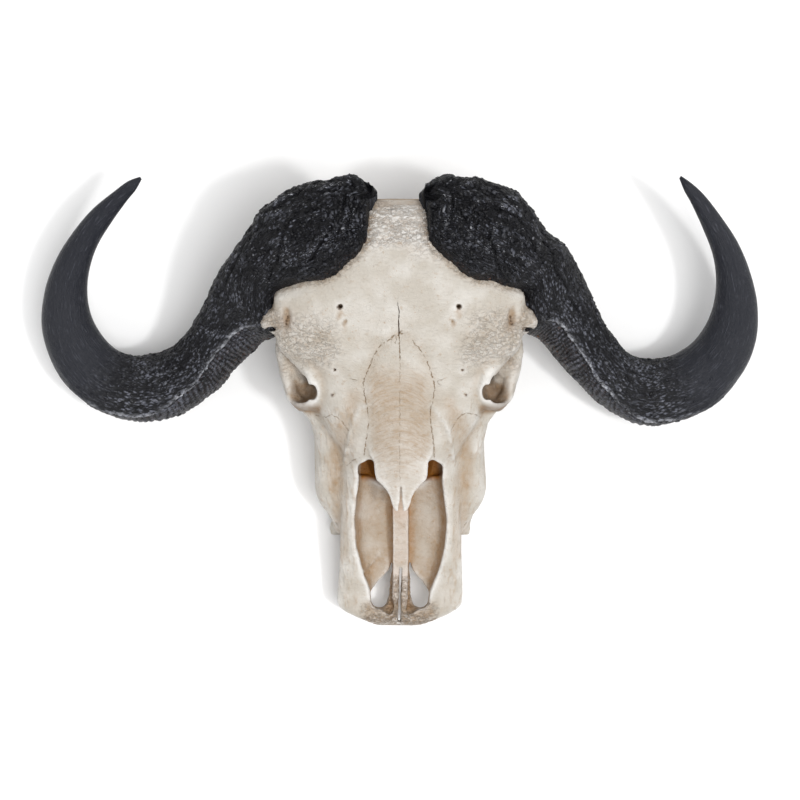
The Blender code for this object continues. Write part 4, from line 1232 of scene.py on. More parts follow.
        # Painted shade: near black inside each small hole, and tan in the groove below it
        for place_x, y, z, radius, groove, depth in self.foramina:
            away = np.hypot(x - place_x, points[:, 1] - y)
            below = np.hypot(x - place_x + 0.5, (points[:, 1] - y + groove * 0.55) / (1 + groove / 8))
            sunk = (points[:, 2] > z - 30) * (points[:, 2] < z + 4)
            hole = np.maximum(hole, eased((radius + 0.9 - away) / 1.2) * sunk * (0.9 if depth > 3.5 else 0.15))
            groove_shade = np.maximum(groove_shade, 0.8 * eased((radius + 1.6 - below) / 2.4) * sunk)
        fine = 0.5 + 0.5 * uneven(points, 2.6, 44)
        pores = eased((ridged(points, 3.4, 45) - 0.72) / 0.2)
        # Brown: the nose passage, partly stain and partly painted shade; the lip and the pit, stain; under the
        # nasal tips, painted shade
        brown = 0.95 * masks["room"] + 0.12 * masks["lip"] * fine + 0.12 * masks["pit"] + 0.2 * masks["tips_shade"]
        # Near black: painted shade in the small holes, the nose passage and the socket's pocket; elsewhere it
        # follows the pores on the lip, the pit and the dip behind the lip
        deep = hole + 0.12 * masks["room"] + 0.4 * masks["socket"] + 0.22 * masks["pit"]
        deep += 0.2 * pores * masks["lip"] + 0.12 * masks["dip"] * fine
        # Tan painted shade in the grooves below the holes and in the valley; tan stain on the lip
        tan += groove_shade + 0.4 * masks["valley"] + 0.15 * fine * masks["lip"]
        # Painted shade: more tan in concave hollows and sunken relief; painted highlight: less tan on convex edges
        edge, bulge = (values / size for values, size in zip(self.bulges, (0.9, 2.6)))
        tan *= 1 - 0.75 * masks["pale"]
        tan += 0.4 * np.clip(-edge, 0, 1) + 0.4 * np.clip(-bulge, 0, 1) + 0.22 * np.clip(-height / 1.6, 0, 1)
        tan *= 1 - 0.7 * np.clip(edge, 0, 1) * (points[:, 2] > 30)
        tan += 0.45 * masks["dip"]
        # Painted shade on the outer slopes of the bars beside the open nose
        tan += 0.3 * band(points[:, 1], -186, -92, 12) * eased((x - 58) / 5) * (x < 80)
        # Brown near the cavity's walls and in its hollows: partly stain, partly painted shade
        brown += 0.14 * masks["rim"] + 0.1 * masks["cavity"] * np.clip(-edge, 0, 1)
        colour = np.column_stack((np.clip(tan, 0, 1), np.clip(brown, 0, 1), np.clip(deep, 0, 1)))
        paint(mesh, "stain", np.column_stack((colour, np.ones(len(points)))))
        wrinkle = masks["rough"] + sum(part * masks[name] for name, part in self.wrinkled)
        wrinkle = np.clip(wrinkle, 0, 1)
        streak = np.clip(masks["streak"] * (1 - masks["nasal"]), 0, 1)
        kinds = np.column_stack((wrinkle, masks["nasal"], streak))
        paint(mesh, "texture", np.column_stack((kinds, np.ones(len(points)))))
        best = np.full(len(points), 40.0)
        cover = np.zeros(len(points))
        for line, strength in ((self.leaf_left, 0.8), (self.leaf_right, 0.8), (self.midline[:2], 0.95),
                               (self.midline[1:], 0.45), *((seam, 0.6) for seam in self.seams)):
            signed, past = line_reach(plan, line)
            nearer = np.hypot(signed, past) < np.abs(best)
            best = np.where(nearer, signed, best)
            cover = np.where(nearer, strength * top * (past < 0.5) * (np.abs(signed) < 4.5), cover)
        # Painted highlight: chalk on convex edges and raised relief; real wear on the crest, and some chalk on the
        # back edge
        worn = 0.9 * np.clip(edge, 0, 1) + 0.5 * np.clip(height / 1.6, 0, 1)
        worn += 0.95 * masks["crest"] + 0.2 * masks["edge"]
        paint(mesh, "worn", np.clip(worn, 0, 1))
        paint(mesh, "seam", best)
        arcs = points[:, 1] + 0.013 * x * x
        paint(mesh, "arc", np.column_stack((points[:, 0] * 0.16, arcs, points[:, 2] * 0.5)))
        paint(mesh, "seam_cover", cover)
        signed, past = line_reach(plan, self.crack)
        paint(mesh, "crack", signed)
        paint(mesh, "crack_cover", top * eased((131 - points[:, 1]) / 44) * (past < 2.5) * (np.abs(signed) < 9))

    def build(self, finish: BoneFinish, horns: Array) -> bpy.types.Object:
        """Make the bone.

        Args:
            finish: Its material.
            horns: Points of the sheaths, for the bone's ragged edge along them.

        Returns:
            The piece.
        """
        mesh = self.surface()
        self.dress(mesh, horns)
        return wear("bare_skull", mesh, finish.make(), Slot.BONE, "skull")


def thinned(mesh: bpy.types.Mesh, ratio: float) -> bpy.types.Mesh:
    """Thin a mesh, most where it is flat.

    Args:
        mesh: What is thinned.
        ratio: The share of its triangles that is kept.

    Returns:
        The thinned mesh.
    """
    holder = bpy.data.objects.new("thinning", mesh)
    bpy.context.scene.collection.objects.link(holder)
    holder.modifiers.new("thin", "DECIMATE").ratio = ratio
    return plain_copy(holder)


def plain_copy(holder: bpy.types.Object) -> bpy.types.Mesh:
    """What an object's modifiers make, as a mesh of its own, with the object removed."""
    graph = bpy.context.evaluated_depsgraph_get()
    made = bpy.data.meshes.new_from_object(holder.evaluated_get(graph))
    holder.modifiers.clear()
    bpy.data.objects.remove(holder)
    return made


def ringed_mesh(name: str, rings: Array) -> bpy.types.Mesh:
    """Skin rings of points, and close both ends at their middles.

    Args:
        name: The mesh's name.
        rings: Places in millimetres, as (ring, point, xyz).

    Returns:
        The closed mesh.
    """
    stations, sides = rings.shape[:2]
    flat = np.vstack((rings.reshape(-1, 3), rings[0].mean(axis=0), rings[-1].mean(axis=0)))
    number = np.arange(stations * sides).reshape(stations, sides)
    after = np.roll(number, -1, axis=1)
    quads = np.stack((number[:-1], after[:-1], after[1:], number[1:]), axis=-1).reshape(-1, 4).tolist()
    fans = [(int(a), int(b), stations * sides) for a, b in zip(number[0], after[0])]
    fans += [(int(b), int(a), stations * sides + 1) for a, b in zip(number[-1], after[-1])]
    return solid_mesh(name, flat, quads + fans)


def tree_start(name: str, **sizes: str) -> tuple[bpy.types.NodeTree, bpy.types.NodeOutputs]:
    """Start a Geometry Nodes tree.

    Args:
        name: The tree's name.
        **sizes: For each input after the geometry, what it holds.

    Returns:
        The tree and its inputs by name.
    """
    tree = bpy.data.node_groups.new(name, "GeometryNodeTree")
    tree.interface.new_socket("Geometry", in_out="INPUT", socket_type="NodeSocketGeometry")
    for label, kind in sizes.items():
        tree.interface.new_socket(label, in_out="INPUT", socket_type=f"NodeSocket{kind}")
    tree.interface.new_socket("Geometry", in_out="OUTPUT", socket_type="NodeSocketGeometry")
    return tree, tree.nodes.new("NodeGroupInput").outputs


def tree_end(tree: bpy.types.NodeTree, shape: bpy.types.NodeSocket, material: bpy.types.Material) -> None:
    """Close a Geometry Nodes tree with real, smooth meshes in their finish.

    Args:
        tree: The tree.
        shape: What it has made.
        material: The finish.
    """
    real = add(tree, "GeometryNodeRealizeInstances", shape)
    smooth = add(tree, "GeometryNodeSetShadeSmooth", real)
    done = add(tree, "GeometryNodeSetMaterial", smooth, Material=material)
    add(tree, "NodeGroupOutput", done)


def grown(tree: bpy.types.NodeTree, mesh: bpy.types.Mesh, **sizes: float) -> bpy.types.Mesh:
    """Run a Geometry Nodes tree over a mesh.

    Args:
        tree: The tree.
        mesh: What it starts from.
        **sizes: The value of each input.

    Returns:
        A plain mesh.
    """
    holder = bpy.data.objects.new("growing", mesh)
    bpy.context.scene.collection.objects.link(holder)
    growth = holder.modifiers.new("growth", "NODES")
    growth.node_group = tree
    names = {item.name: item.identifier for item in tree.interface.items_tree if item.in_out == "INPUT"}
    for name, value in sizes.items():
        growth[names[name]] = value
    return plain_copy(holder)


def nearest(points: Array, others: Array, most: float = 40.0) -> Array:
    """Measure from each point to the nearest of the others.

    Args:
        points: Where from.
        others: Where to.
        most: The largest distance that matters.

    Returns:
        A distance a point.
    """
    tree = kdtree.KDTree(len(others))
    for index, point in enumerate(others):
        tree.insert(point, index)
    tree.balance()
    low, high = others.min(axis=0) - most, others.max(axis=0) + most
    inside = np.all((points > low) & (points < high), axis=1)
    found = np.full(len(points), most)
    found[inside] = [min(tree.find(point)[2], most) for point in points[inside]]
    return found


@dataclass
class HornSheath:
    """One hollow keratin sheath, from its smooth tip through the ringed strip and the fold to the rough boss."""

    side: Side
    ribs: Points
    hook_ribs: int = 14
    hook_roundness: float = 2.15
    boss_roundness: float = 3.6
    stations: int = 520
    around: int = 168
    cap_depth: float = 2.0
    boss_lump: float = 4.2
    hook_lump: float = 1.1
    lump_size: float = 26.0
    roll_reach: float = 13.0
    roll_drop: float = 7.0
    roll_ribs: float = 2.6
    # How deep the hollow under the curl at the boss's end is
    pocket_depth: float = 13.0
    fold_height: float = 4.6
    fold_lip: float = 2.2
    fold_step: float = 0.045
    # Where on the horn the fold's edge lies: the rib's number, and its share of the way across
    fold_run: Points = ((0, 0.03), (8, 0.03), (10, 0.05), (11, 0.15), (12, 0.27), (13, 0.35), (14, 0.385),
                        (15, 0.365), (16, 0.265), (17, 0.2), (18, 0.12), (23, 0.05))
    # How far the ridges stray along each axis, how wide the strays are, and their seeds
    warp: tuple = ((4.5, 21, 71), (3.5, 17, 72), (3.5, 17, 73))
    ridge_mm: float = 5.2
    ring_mm: float = 5.4
    knob_mm: float = 8.5
    creases: tuple = ()
    zones: dict[str, Array] = field(default_factory=dict)

    def shell(self) -> Array:
        """The sheath's plain rings of points, as (station, side, xyz), with what lies where kept in zones."""
        count = len(self.ribs)
        places = np.linspace(0, count - 1, self.stations)
        rib = through(self.ribs, places)
        outer, inner = rib[:, 0:2], rib[:, 2:4]
        centre = np.column_stack(((outer + inner) / 2, rib[:, 4]))
        half = (outer - inner) / 2
        boss = eased((places - self.hook_ribs) / (count - 1 - self.hook_ribs))
        keys = np.array(self.fold_run)
        share = np.interp(places, keys[:, 0], keys[:, 1])
        wave = np.column_stack((places * 12, np.zeros((len(places), 2))))
        jag = 0.026 * uneven(wave, 9, 61) + 0.016 * uneven(wave, 3.0, 62) + 0.008 * uneven(wave, 1.2, 63)
        share = np.clip(share + jag, 0.01, 0.6)
        full = math.tau - self.fold_step
        turns = np.append(np.arange(self.around) / self.around * full, full)
        angle = np.arccos(1 - 2 * share)[:, None] + turns[None, :]
        bend = 2 / (self.hook_roundness + (self.boss_roundness - self.hook_roundness) * boss)[:, None]
        across = np.sign(np.cos(angle)) * np.abs(np.cos(angle)) ** bend
        upward = np.sign(np.sin(angle)) * np.abs(np.sin(angle)) ** bend
        points = np.repeat(centre[:, None, :], len(turns), axis=1)
        points[..., :2] += across[..., None] * half[:, None, :]
        points[..., 2] += upward * rib[:, 5][:, None]
        width = np.linalg.norm(half, axis=1)[:, None]
        out = np.dstack((half[:, None, 0] / width * np.cos(angle), half[:, None, 1] / width * np.cos(angle),
                         np.sin(angle)))
        roll = eased((places - count + 1 + self.roll_ribs) / self.roll_ribs)[:, None]
        roll = roll * eased((-across - 0.48) / 0.16) * (1 - 0.55 * eased((-across - 0.78) / 0.22))
        points[..., 0] -= np.sign(centre[:, 0])[:, None] * self.roll_reach * roll
        points[..., 2] -= self.roll_drop * roll
        below = eased((turns - math.tau + 2.0) / 1.2)[None, :]
        strip = eased((places - 8.5) / 2.5) * eased((16.2 - places) / 1.8)
        points -= out * (self.fold_height * below * strip[:, None])[..., None]
        rim = np.exp(-((turns / 0.075) ** 2))[None, :] * strip[:, None]
        rim = rim * (0.7 + 0.5 * uneven(wave, 3.4, 64))[:, None]
        points += out * (self.fold_lip * rim)[..., None]
        flat = points.reshape(-1, 3)
        lumps = uneven(flat, self.lump_size, 5) + 0.5 * uneven(flat, self.lump_size / 2, 6)
        lump_height = self.hook_lump * eased((places - 6) / 4) + (self.boss_lump - self.hook_lump) * boss
        points += out * (lumps.reshape(points.shape[:2]) * lump_height[:, None])[..., None]
        walk = np.append(0, np.cumsum(np.linalg.norm(np.diff(centre, axis=0), axis=1)))
        shape = points.shape[:2]
        run = np.dstack((np.broadcast_to(walk[:, None], shape), across * width, upward * rib[:, 5][:, None]))
        self.zones = {
            "out": out, "run": run, "below": np.broadcast_to(below, shape), "across": across, "upward": upward,
            "strip": strip[:, None] * np.ones(shape), "boss": boss[:, None] * np.ones(shape),
            "places": places[:, None] * np.ones(shape), "roll": roll, "rim": rim,
        }
        return points

    def relief(self, points: Array) -> Array:
        """Ridges along the horn, growth rings below the fold, and the lumps and creases of the boss.

        Args:
            points: The plain rings.

        Returns:
            A height for each point of each ring.
        """
        zones = self.zones
        flat = points.reshape(-1, 3)
        run = zones["run"].reshape(-1, 3)
        boss, places, strip = (zones[name].ravel() for name in ("boss", "places", "strip"))
        below, across, upward = (zones[name].ravel() for name in ("below", "across", "upward"))
        rough = eased((places - 7.5) / 3.5)
        warp = np.column_stack([reach * uneven(flat, size, seed) for reach, size, seed in self.warp])
        bent = run + warp * rough[:, None]
        strands = ridged(bent, (34, self.ridge_mm, self.ridge_mm), 74)
        strands = 0.6 * strands + 0.4 * ridged(bent, (15, 2.9, 2.9), 75)
        under = np.clip(below * strip + 0.35 * eased((-upward - 0.1) / 0.4) * (1 - boss), 0, 1)
        phase = (bent[:, 0] + 1.8 * uneven(flat, 9, 76)) / self.ring_mm
        rings = np.abs(np.sin(math.pi * phase)) ** 0.7
        knobs = ridged(bent, (self.knob_mm * 1.3, self.knob_mm, self.knob_mm), 77)
        knobs = 0.65 * knobs + 0.35 * ridged(bent, (5.5, 4.4, 4.4), 78)
        crease = ridged(bent, (62, 15, 15), 79)
        crease = eased((crease - 0.78) / 0.22)
        calm = eased((across - 0.35) / 0.4) * eased((places - 15) / 3)
        outer_edge = eased((-across + 0.15) / 0.4)
        self.zones["calm"] = calm.reshape(points.shape[:2])
        facing = eased((upward + 0.1) / 0.6)
        height = (0.14 + 1.7 * rough * (1 - under) * (1 - 0.35 * boss)) * (strands - 0.5)
        height += 2.6 * under * rough * (rings - 0.6)
        knobby = boss * (1 - 0.75 * calm) * (0.35 + 0.65 * facing) * (0.8 + 0.4 * outer_edge)
        rows = ridged(bent, (self.knob_mm * 0.62, self.knob_mm * 1.9, 12), 85) * ridged(bent, (40, 5.5, 9), 86)
        height += 2.2 * knobby * (knobs - 0.45) - 1.6 * boss * crease * facing * (1 - 0.4 * calm)
        height += 3.4 * boss * outer_edge * facing * (1 - calm) * (rows - 0.35)
        height += 0.6 * rough * uneven(flat, 12, 80)
        grains = 1.1 * ridged(bent, (5.0, 3.1, 3.1), 82)
        height += rough * (1 - under) * (0.5 + 0.5 * facing) * (1 - 0.4 * calm) * grains
        stray = flat[:, :2] + np.column_stack((1.4 * uneven(flat, 7, 83), 1.4 * uneven(flat, 7, 84)))
        for line in self.creases:
            signed, past = line_reach(stray, line)
            away = np.hypot(signed, past)
            height += facing * (0.9 * np.exp(-((away / 5.5) ** 2)) - 3.4 * np.exp(-((away / 1.5) ** 2)))
        self.zones["height"] = height.reshape(points.shape[:2])
        return self.zones["height"]

    def mesh(self) -> bpy.types.Mesh:
        """The whole sheath, closed at its tip and at its end over the crest."""
        points = self.shell()
        heights = self.relief(points)
        lip = eased((self.zones["places"] - 22.1) / 0.5) * (self.zones["upward"] > 0)
        pocket = lip * band(-self.zones["across"], 0.5, 0.88, 0.14)
        self.zones["pocket"] = pocket
        points = points + self.zones["out"] * (heights * (1 - pocket))[..., None]
        points[..., 2] -= self.pocket_depth * pocket
        last = points[-1]
        middle = last.mean(axis=0)
        caps = []
        for scale, depth in ((0.985, 0.3), (0.95, 0.62), (0.9, 0.86), (0.86, 1.0), (0.6, 1.02), (0.3, 1.02)):
            step = np.array([-self.side.value * self.cap_depth * depth, 0, 0])
            caps.append(middle + (last - middle) * scale + step)
        rings = np.concatenate((points, np.array(caps)))
        mesh = ringed_mesh(f"sheath_{self.side.word}", rings)
        self.dress(mesh, len(caps))
        return mesh

    def dress(self, mesh: bpy.types.Mesh, caps: int) -> None:
        """Store what the material reads.

        Args:
            mesh: The sheath's mesh.
            caps: How many rings close its end.
        """
        def spread(values: Array) -> Array:
            """Repeat the end rings' values over the caps and the two centres."""
            rings = np.concatenate((values, np.repeat(values[-1:], caps, axis=0)))
            flat = rings.reshape(-1, *values.shape[2:])
            return np.concatenate((flat, flat[:1], flat[-1:]))

        zones = self.zones
        boss = np.clip(0.25 * eased((zones["places"] - 8) / 3) + 0.85 * zones["boss"], 0, 1)
        edge = eased((zones["across"] - 0.8) / 0.2) * eased((zones["places"] - 12.5) / 2)
        fold = zones["strip"] * zones["below"] * 0.25
        rim = np.clip(zones["rim"], 0, 1)
        edge = np.clip(0.8 * edge + fold, 0, 1)
        colours = np.dstack((boss, zones["below"] * zones["strip"], edge, np.ones_like(boss)))
        paint(mesh, "zone", spread(colours))
        paint(mesh, "run", spread(zones["run"]))
        paint(mesh, "height", np.clip(spread(zones["height"]) / 3.4 + 0.9 * spread(rim), -1, 1))
        paint(mesh, "rim", spread(rim))
        # Share of dust and painted highlight on faces that look up: less on the calm part of the boss, none in the
        # hollow under the curl
        bright = (1 - 0.55 * zones["calm"]) * (1 - zones["pocket"])
        paint(mesh, "upturned", eased((normals_of(mesh)[:, 2] - 0.15) / 0.7) * spread(bright))
        paint(mesh, "scaly", spread(boss * (zones["upward"] > -0.3) * (zones["roll"] < 0.3)))

    def build(self, material: bpy.types.Material) -> bpy.types.Object:
        """Make the sheath.

        Args:
            material: Its finish.

        Returns:
            The piece.
        """
        return wear(f"horn_sheath_{self.side.word}", self.mesh(), material, Slot.HORN, f"horn_{self.side.word}")


@dataclass
class BossScales:
    """The small scales and grains of keratin that stand on the rough parts of both sheaths."""

    per_square_metre: float = 30_000.0
    smallest: float = 0.7
    largest: float = 2.3
    flatness: float = 0.45
    stretch: tuple[float, float] = (0.8, 1.9)
    grain_faces: tuple[int, int] = (7, 4)
    seed: int = 12
    stretch_seed: int = 4
    # What the horn's finish reads on a scale; upturned is its share of dust and painted highlight
    zone: tuple = (1.0, 0.0, 0.05, 1.0)
    height: float = 0.32
    upturned: float = 0.6

    def tree(self, material: bpy.types.Material) -> bpy.types.NodeTree:
        """Build the nodes that scatter scales over a surface.

        Args:
            material: The scales' finish.

        Returns:
            The node group.
        """
        tree, given = tree_start("boss_scales", Density="Float", Smallest="Float", Largest="Float",
                                 Flatness="Float", Seed="Int")
        scaly = add(tree, "GeometryNodeInputNamedAttribute", Name="scaly", data_type="FLOAT")
        density = add(tree, "product", scaly, given["Density"])
        spots = add(tree, "GeometryNodeDistributePointsOnFaces", Mesh=given["Geometry"], Density=density,
                    Seed=given["Seed"]).node
        segments, rings = self.grain_faces
        grain = add(tree, "GeometryNodeMeshUVSphere", Segments=segments, Rings=rings, Radius=1.0)
        size = add(tree, "random", given["Smallest"], given["Largest"], Seed=given["Seed"])
        stretch = add(tree, "random", *self.stretch, Seed=self.stretch_seed)
        long = add(tree, "product", size, stretch)
        flat = add(tree, "product", size, given["Flatness"])
        scale = add(tree, "ShaderNodeCombineXYZ", long, size, flat)
        set_out = add(tree, "GeometryNodeInstanceOnPoints", Points=spots.outputs["Points"], Instance=grain,
                      Rotation=spots.outputs["Rotation"], Scale=scale)
        tree_end(tree, set_out, material)
        return tree

    def build(self, sheaths: list[bpy.types.Object], material: bpy.types.Material) -> None:
        """Scatter the scales over each sheath.

        Args:
            sheaths: The pieces that carry them.
            material: Their finish.
        """
        tree = self.tree(material)
        for number, sheath in enumerate(sheaths):
            mesh = grown(tree, sheath.data, Density=self.per_square_metre, Smallest=self.smallest * MM,
                         Largest=self.largest * MM, Flatness=self.flatness, Seed=self.seed + number)
            side = sheath.name.rsplit("_", 1)[-1]
            count = len(mesh.vertices)
            paint(mesh, "zone", np.tile(self.zone, (count, 1)))
            paint(mesh, "height", np.full(count, self.height))
            paint(mesh, "upturned", np.full(count, self.upturned))
            paint(mesh, "run", points_of(mesh))
            wear(f"boss_scales_{side}", mesh, material, Slot.HORN)


@dataclass
class CheekTooth:
    """One upper cheek tooth: three buttresses outside, two lobes inside, and a sunken grinding face."""

    side: Side
    label: str
    place: float
    length: float
    width: float
    off: float
    top: float = 36.0
    taper: float = 0.92
    around: int = 72
    recess: float = 0.7
    # The heights of the crown's straight part
    straight: tuple = (0.8, 2.5, 5, 8, 11, 14, 17)
    # How much of its place a crown takes up along the row
    fit: float = 0.985

    def outline(self, count: int) -> Array:
        """The crown's outline about its own middle, as x and y."""
        angle = np.arange(count) / count * math.tau
        across = np.sign(np.cos(angle)) * np.abs(np.cos(angle)) ** 0.62
        along = np.sign(np.sin(angle)) * np.abs(np.sin(angle)) ** 0.62
        outside = (np.cos(angle) > 0) * eased(np.cos(angle))
        ribs = 0.045 * np.cos(along * math.pi * 2) * outside
        lobes = 0.05 * np.cos(along * math.pi * 1.5 + math.pi) * eased(-np.cos(angle))
        reach = 1 + ribs + lobes
        across = self.side.value * across * self.width / 2 * reach
        return np.column_stack((across, along * self.length / 2 * reach * self.fit))

    def mesh(self) -> bpy.types.Mesh:
        """The crown, closed at both ends."""
        outline = self.outline(self.around)
        steps = [(0.35, self.recess + 0.9), (0.62, self.recess + 0.5), (0.86, self.recess), (0.95, 0.25)]
        steps += [(0.985, 0.0), *((1.0, height) for height in self.straight)]
        above = self.straight[-1]
        steps += [(1 - (1 - self.taper) * share, above + (self.top - above) * share)
                  for share in (0.3, 0.6, 0.85, 1.0)]
        rings = []
        for scale, height in steps:
            ring = np.column_stack((outline * scale, np.full(self.around, height)))
            ring[:, 0] += self.side.value * self.off
            ring[:, 1] += self.place
            rings.append(ring)
        rings = np.array(rings)
        swell = 0.35 * uneven(rings.reshape(-1, 3), (3.2, 3.2, 14), 91).reshape(rings.shape[:2])
        centre = np.array([self.side.value * self.off, self.place, 0])
        away = (rings - centre) * (1, 1, 0)
        away = away / np.maximum(np.linalg.norm(away, axis=2, keepdims=True), 1e-6)
        rings += away * swell[..., None]
        mesh = ringed_mesh(f"crown_{self.side.word}_{self.label}", rings)
        height = points_of(mesh)[:, 2]
        inside = np.zeros(len(height))
        inside[: 3 * self.around] = 1.0
        inside[rings.shape[0] * self.around] = 1.0
        paint(mesh, "bare", np.clip(0.75 * inside + 0.3 * eased((height - 16) / 14), 0, 1))
        return mesh

    def crest_paths(self) -> list[Array]:
        """The closed lines that the raised enamel follows on the grinding face."""
        rim = self.outline(48) * 0.93
        paths = [rim]
        shares = (0.0,) if self.label.startswith("p") else (-0.23, 0.25)
        for share in shares:
            angle = np.arange(28) / 28 * math.tau
            reach = self.length * (0.30 if len(shares) == 1 else 0.15)
            bow = np.cos(angle) * self.width * 0.11 - self.side.value * self.width * 0.10 * np.sin(angle) ** 2
            paths.append(np.column_stack((bow, self.length * share + np.sin(angle) * reach)))
        centre = np.array([self.side.value * self.off, self.place])
        return [np.column_stack((path + centre, np.full(len(path), 0.55))) for path in paths]

    def build(self, material: bpy.types.Material) -> bpy.types.Object:
        """Make the tooth.

        Args:
            material: Its finish.

        Returns:
            The piece.
        """
        name = f"{self.side.word}_{self.label}"
        return wear(f"crown_{name}", self.mesh(), material, Slot.TOOTH, f"tooth_{name}")


@dataclass
class EnamelCrests:
    """The raised enamel that runs in closed lines over the teeth's grinding faces."""

    radius: float = 0.55
    spacing: float = 0.9
    around: int = 8

    def tree(self, material: bpy.types.Material) -> bpy.types.NodeTree:
        """Build the nodes that draw a rounded crest along every line.

        Args:
            material: The enamel.

        Returns:
            The node group.
        """
        tree, given = tree_start("enamel_crests", Radius="Float", Spacing="Float")
        curve = add(tree, "GeometryNodeMeshToCurve", given["Geometry"])
        even = add(tree, "GeometryNodeResampleCurve", mode="LENGTH", Curve=curve, Length=given["Spacing"])
        profile = add(tree, "GeometryNodeCurvePrimitiveCircle", mode="RADIUS", Resolution=self.around,
                      Radius=given["Radius"])
        tree_end(tree, add(tree, "GeometryNodeCurveToMesh", even, profile), material)
        return tree

    def build(self, teeth: list[CheekTooth], material: bpy.types.Material) -> None:
        """Draw the crests of every tooth as one piece.

        Args:
            teeth: The teeth that carry them.
            material: The enamel.
        """
        points: list = []
        edges: list = []
        for path in itertools.chain.from_iterable(tooth.crest_paths() for tooth in teeth):
            first = len(points)
            points.extend(((path + np.array(STAND)) * MM).tolist())
            edges.extend((first + step, first + (step + 1) % len(path)) for step in range(len(path)))
        lines = bpy.data.meshes.new("crest_lines")
        lines.from_pydata(points, edges, [])
        mesh = grown(self.tree(material), lines, Radius=self.radius * MM, Spacing=self.spacing * MM)
        paint(mesh, "bare", np.zeros(len(mesh.vertices)))
        wear("enamel_crests", mesh, material, Slot.TOOTH)


@dataclass
class Studio:
    """A white table, a steep soft key and a small hard glint from the lower right, and the camera above."""

    table_metres: float = 12.0
    # How far the table lies under the teeth
    table_gap: float = 0.0003
    camera_height: float = 3.6
    view_share: float = 0.46 / 3.48
    # Each lamp: strength, how far it leans along the head and across it, and how soft it is, in degrees
    lamps: tuple = (("key", 1.2, 9.0, 13.0, 24.0), ("glint", 0.8, 8.0, 22.0, 5.0))
    fill: str = "#FFFFFF"
    # How bright the room is level with the table, and how much brighter straight overhead
    fill_strength: tuple[float, float] = (0.34, 0.66)

    def table(self) -> None:
        """Lay the table just under the teeth."""
        half = self.table_metres / 2
        mesh = bpy.data.meshes.new("table")
        corners = [(x * half, y * half, -self.table_gap) for x, y in ((-1, -1), (1, -1), (1, 1), (-1, 1))]
        mesh.from_pydata(corners, [], [(0, 1, 2, 3)])
        mesh.materials.append(TableFinish().make())
        table = bpy.data.objects.new("table", mesh)
        bpy.context.scene.collection.objects.link(table)

    def lights(self) -> None:
        """Hang the lamps and fill the room."""
        for name, strength, lean_along, lean_across, softness in self.lamps:
            light = bpy.data.lights.new(name, "SUN")
            light.energy = strength
            light.angle = math.radians(softness)
            lamp = bpy.data.objects.new(name, light)
            lamp.rotation_euler = (math.radians(lean_along), math.radians(lean_across), 0)
            bpy.context.scene.collection.objects.link(lamp)
        world = bpy.data.worlds.new("white_room")
        world.use_nodes = True
        back = world.node_tree.nodes["Background"]
        back.inputs["Color"].default_value = linear(self.fill)
        toward = add(world.node_tree, "ShaderNodeTexCoord", out="Generated")
        upward = add(world.node_tree, "ShaderNodeSeparateXYZ", toward, out="Z")
        level, overhead = self.fill_strength
        strength = add(world.node_tree, "product_plus", upward, overhead, level)
        world.node_tree.links.new(strength, back.inputs["Strength"])
        bpy.context.scene.world = world

    def camera(self) -> None:
        """Hang the camera straight over the skull."""
        lens = bpy.data.cameras.new("overhead")
        lens.sensor_width = 36
        lens.lens = 18 / self.view_share
        lens.clip_end = 50
        seen = bpy.data.objects.new("overhead", lens)
        seen.location = (STAND[0] * MM, STAND[1] * MM, self.camera_height)
        bpy.context.scene.collection.objects.link(seen)
        bpy.context.scene.camera = seen

    def build(self) -> None:
        """Set the whole studio up."""
        self.table()
        self.lights()
        self.camera()
        view = bpy.context.scene.view_settings
        view.view_transform = "Standard"
        view.look = "None"


# Horn sheaths from tip to boss: outer edge x, y, inner edge x, y, height of the middle, half depth
LEFT_RIBS: Points = (
    (-298, 256, -296, 253, 132, 1.5), (-312, 251, -303, 241, 129, 6), (-328, 240, -315, 227, 124, 8.5),
    (-355, 219, -334, 202, 115, 12.5), (-378, 193, -350, 177, 106, 15.5), (-398, 163, -360, 149, 96, 19),
    (-412, 128, -363, 122, 86, 22.5), (-417, 87, -359, 97, 77, 26), (-407, 46, -349, 77, 69, 29),
    (-383, 9, -335, 62, 63, 31), (-347, -18, -319, 53, 60, 32), (-298, -30, -300, 52, 60, 33),
    (-251, -18, -282, 55, 66, 34), (-213, 9, -261, 64, 80, 35), (-187, 38, -243, 84, 98, 37),
    (-158, 64, -227, 108, 119, 39), (-141, 76, -214, 130, 138, 41), (-140, 113, -200, 156, 155, 44),
    (-124, 124, -176, 184, 172, 46), (-104, 128, -152, 216, 186, 46), (-83, 134, -116, 238, 198, 44),
    (-62, 150, -81, 247, 207, 38), (-46, 162, -54, 249, 213, 29), (-40, 174, -39, 238, 218, 18),
)
RIGHT_RIBS: Points = (
    (322, 257, 320, 254, 132, 1.5), (334, 249, 326, 240, 129, 6), (350, 235, 335, 225, 124, 8.5),
    (372, 208, 349, 197, 115, 12.5), (391, 180, 361, 168, 106, 15.5), (406, 146, 366, 139, 96, 19),
    (415, 109, 364, 111, 86, 22.5), (414, 68, 356, 88, 77, 26), (398, 29, 343, 69, 69, 29),
    (369, -5, 326, 56, 63, 31), (325, -28, 309, 50, 60, 32), (280, -33, 291, 48, 60, 33),
    (233, -8, 272, 52, 66, 34), (202, 23, 252, 68, 80, 35), (177, 50, 234, 93, 98, 37),
    (158, 70, 221, 119, 119, 39), (143, 80, 207, 143, 138, 41), (138, 115, 190, 171, 155, 44),
    (125, 124, 167, 189, 172, 46), (104, 131, 145, 220, 186, 46), (83, 134, 113, 240, 198, 44),
    (64, 146, 83, 248, 207, 38), (46, 160, 55, 249, 213, 29), (35, 173, 35, 239, 218, 18),
)
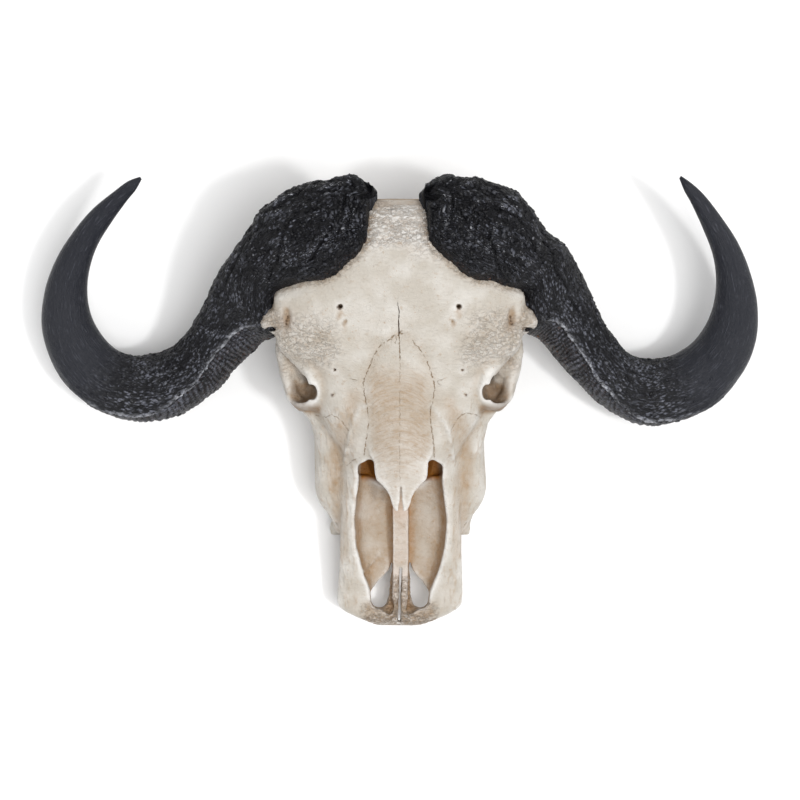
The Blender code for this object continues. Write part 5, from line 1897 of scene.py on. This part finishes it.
# Deep creases of each boss, as lines seen from above
LEFT_CREASES = (
    ((-61, 231), (-62.5, 212), (-75, 191), (-88, 173), (-96, 160), (-101, 154)),
    ((-115, 209), (-124, 199), (-129, 188), (-132, 176), (-134, 163), (-140, 150), (-147, 136)),
    ((-88, 212.5), (-100, 212), (-106, 210)),
    ((-75, 249), (-101, 240), (-120, 227), (-140, 214), (-152, 209)),
    ((-154, 199), (-168, 183.5), (-178, 171), (-182, 160), (-192, 143), (-206, 118)),
    ((-52, 244), (-51.5, 225), (-53.5, 207), (-58.5, 196)),
)
RIGHT_CREASES = (
    ((45.5, 248), (56, 235), (60, 221), (57, 207)),
    ((90.5, 210.5), (105, 212.5), (120, 209), (133, 201.5), (141, 191), (146, 181), (151, 168)),
    ((98, 180), (105, 168), (106, 156.5), (112, 142), (120, 132)),
    ((105, 237), (120, 225), (128, 219.5), (138, 212), (151, 201.5), (159, 189), (168, 181)),
    ((161, 178), (172, 165.5), (174, 147.5), (184, 135), (192, 117), (206, 96)),
)
# Upper cheek teeth of one side, front to back: label, middle along Y, length, width, distance from the midline
TEETH = (("p2", -151, 17, 16, 75), ("p3", -131.5, 19, 18, 75.5), ("p4", -110.5, 20, 20, 76.5),
         ("m1", -86.5, 25, 22, 77.5), ("m2", -58, 29, 23, 78), ("m3", -26, 31, 22, 78))


def main() -> None:
    """Build the skull and its studio."""
    logging.basicConfig(level=logging.INFO, format="%(name)s: %(message)s", stream=sys.stdout)
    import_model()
    Studio().build()
    keratin = HornFinish().make()
    horns = (HornSheath(Side.LEFT, LEFT_RIBS, creases=LEFT_CREASES),
             HornSheath(Side.RIGHT, RIGHT_RIBS, creases=RIGHT_CREASES))
    sheaths = [horn.build(keratin) for horn in horns]
    BossScales().build(sheaths, keratin)
    beside = np.concatenate([points_of(sheath.data)[::3] for sheath in sheaths])
    Skull().build(BoneFinish(), beside)
    enamel = ToothFinish().make()
    teeth = [CheekTooth(side, *size) for side in Side for size in TEETH]
    for tooth in teeth:
        tooth.build(enamel)
    EnamelCrests().build(teeth, enamel)


if __name__ == "__main__":
    main()
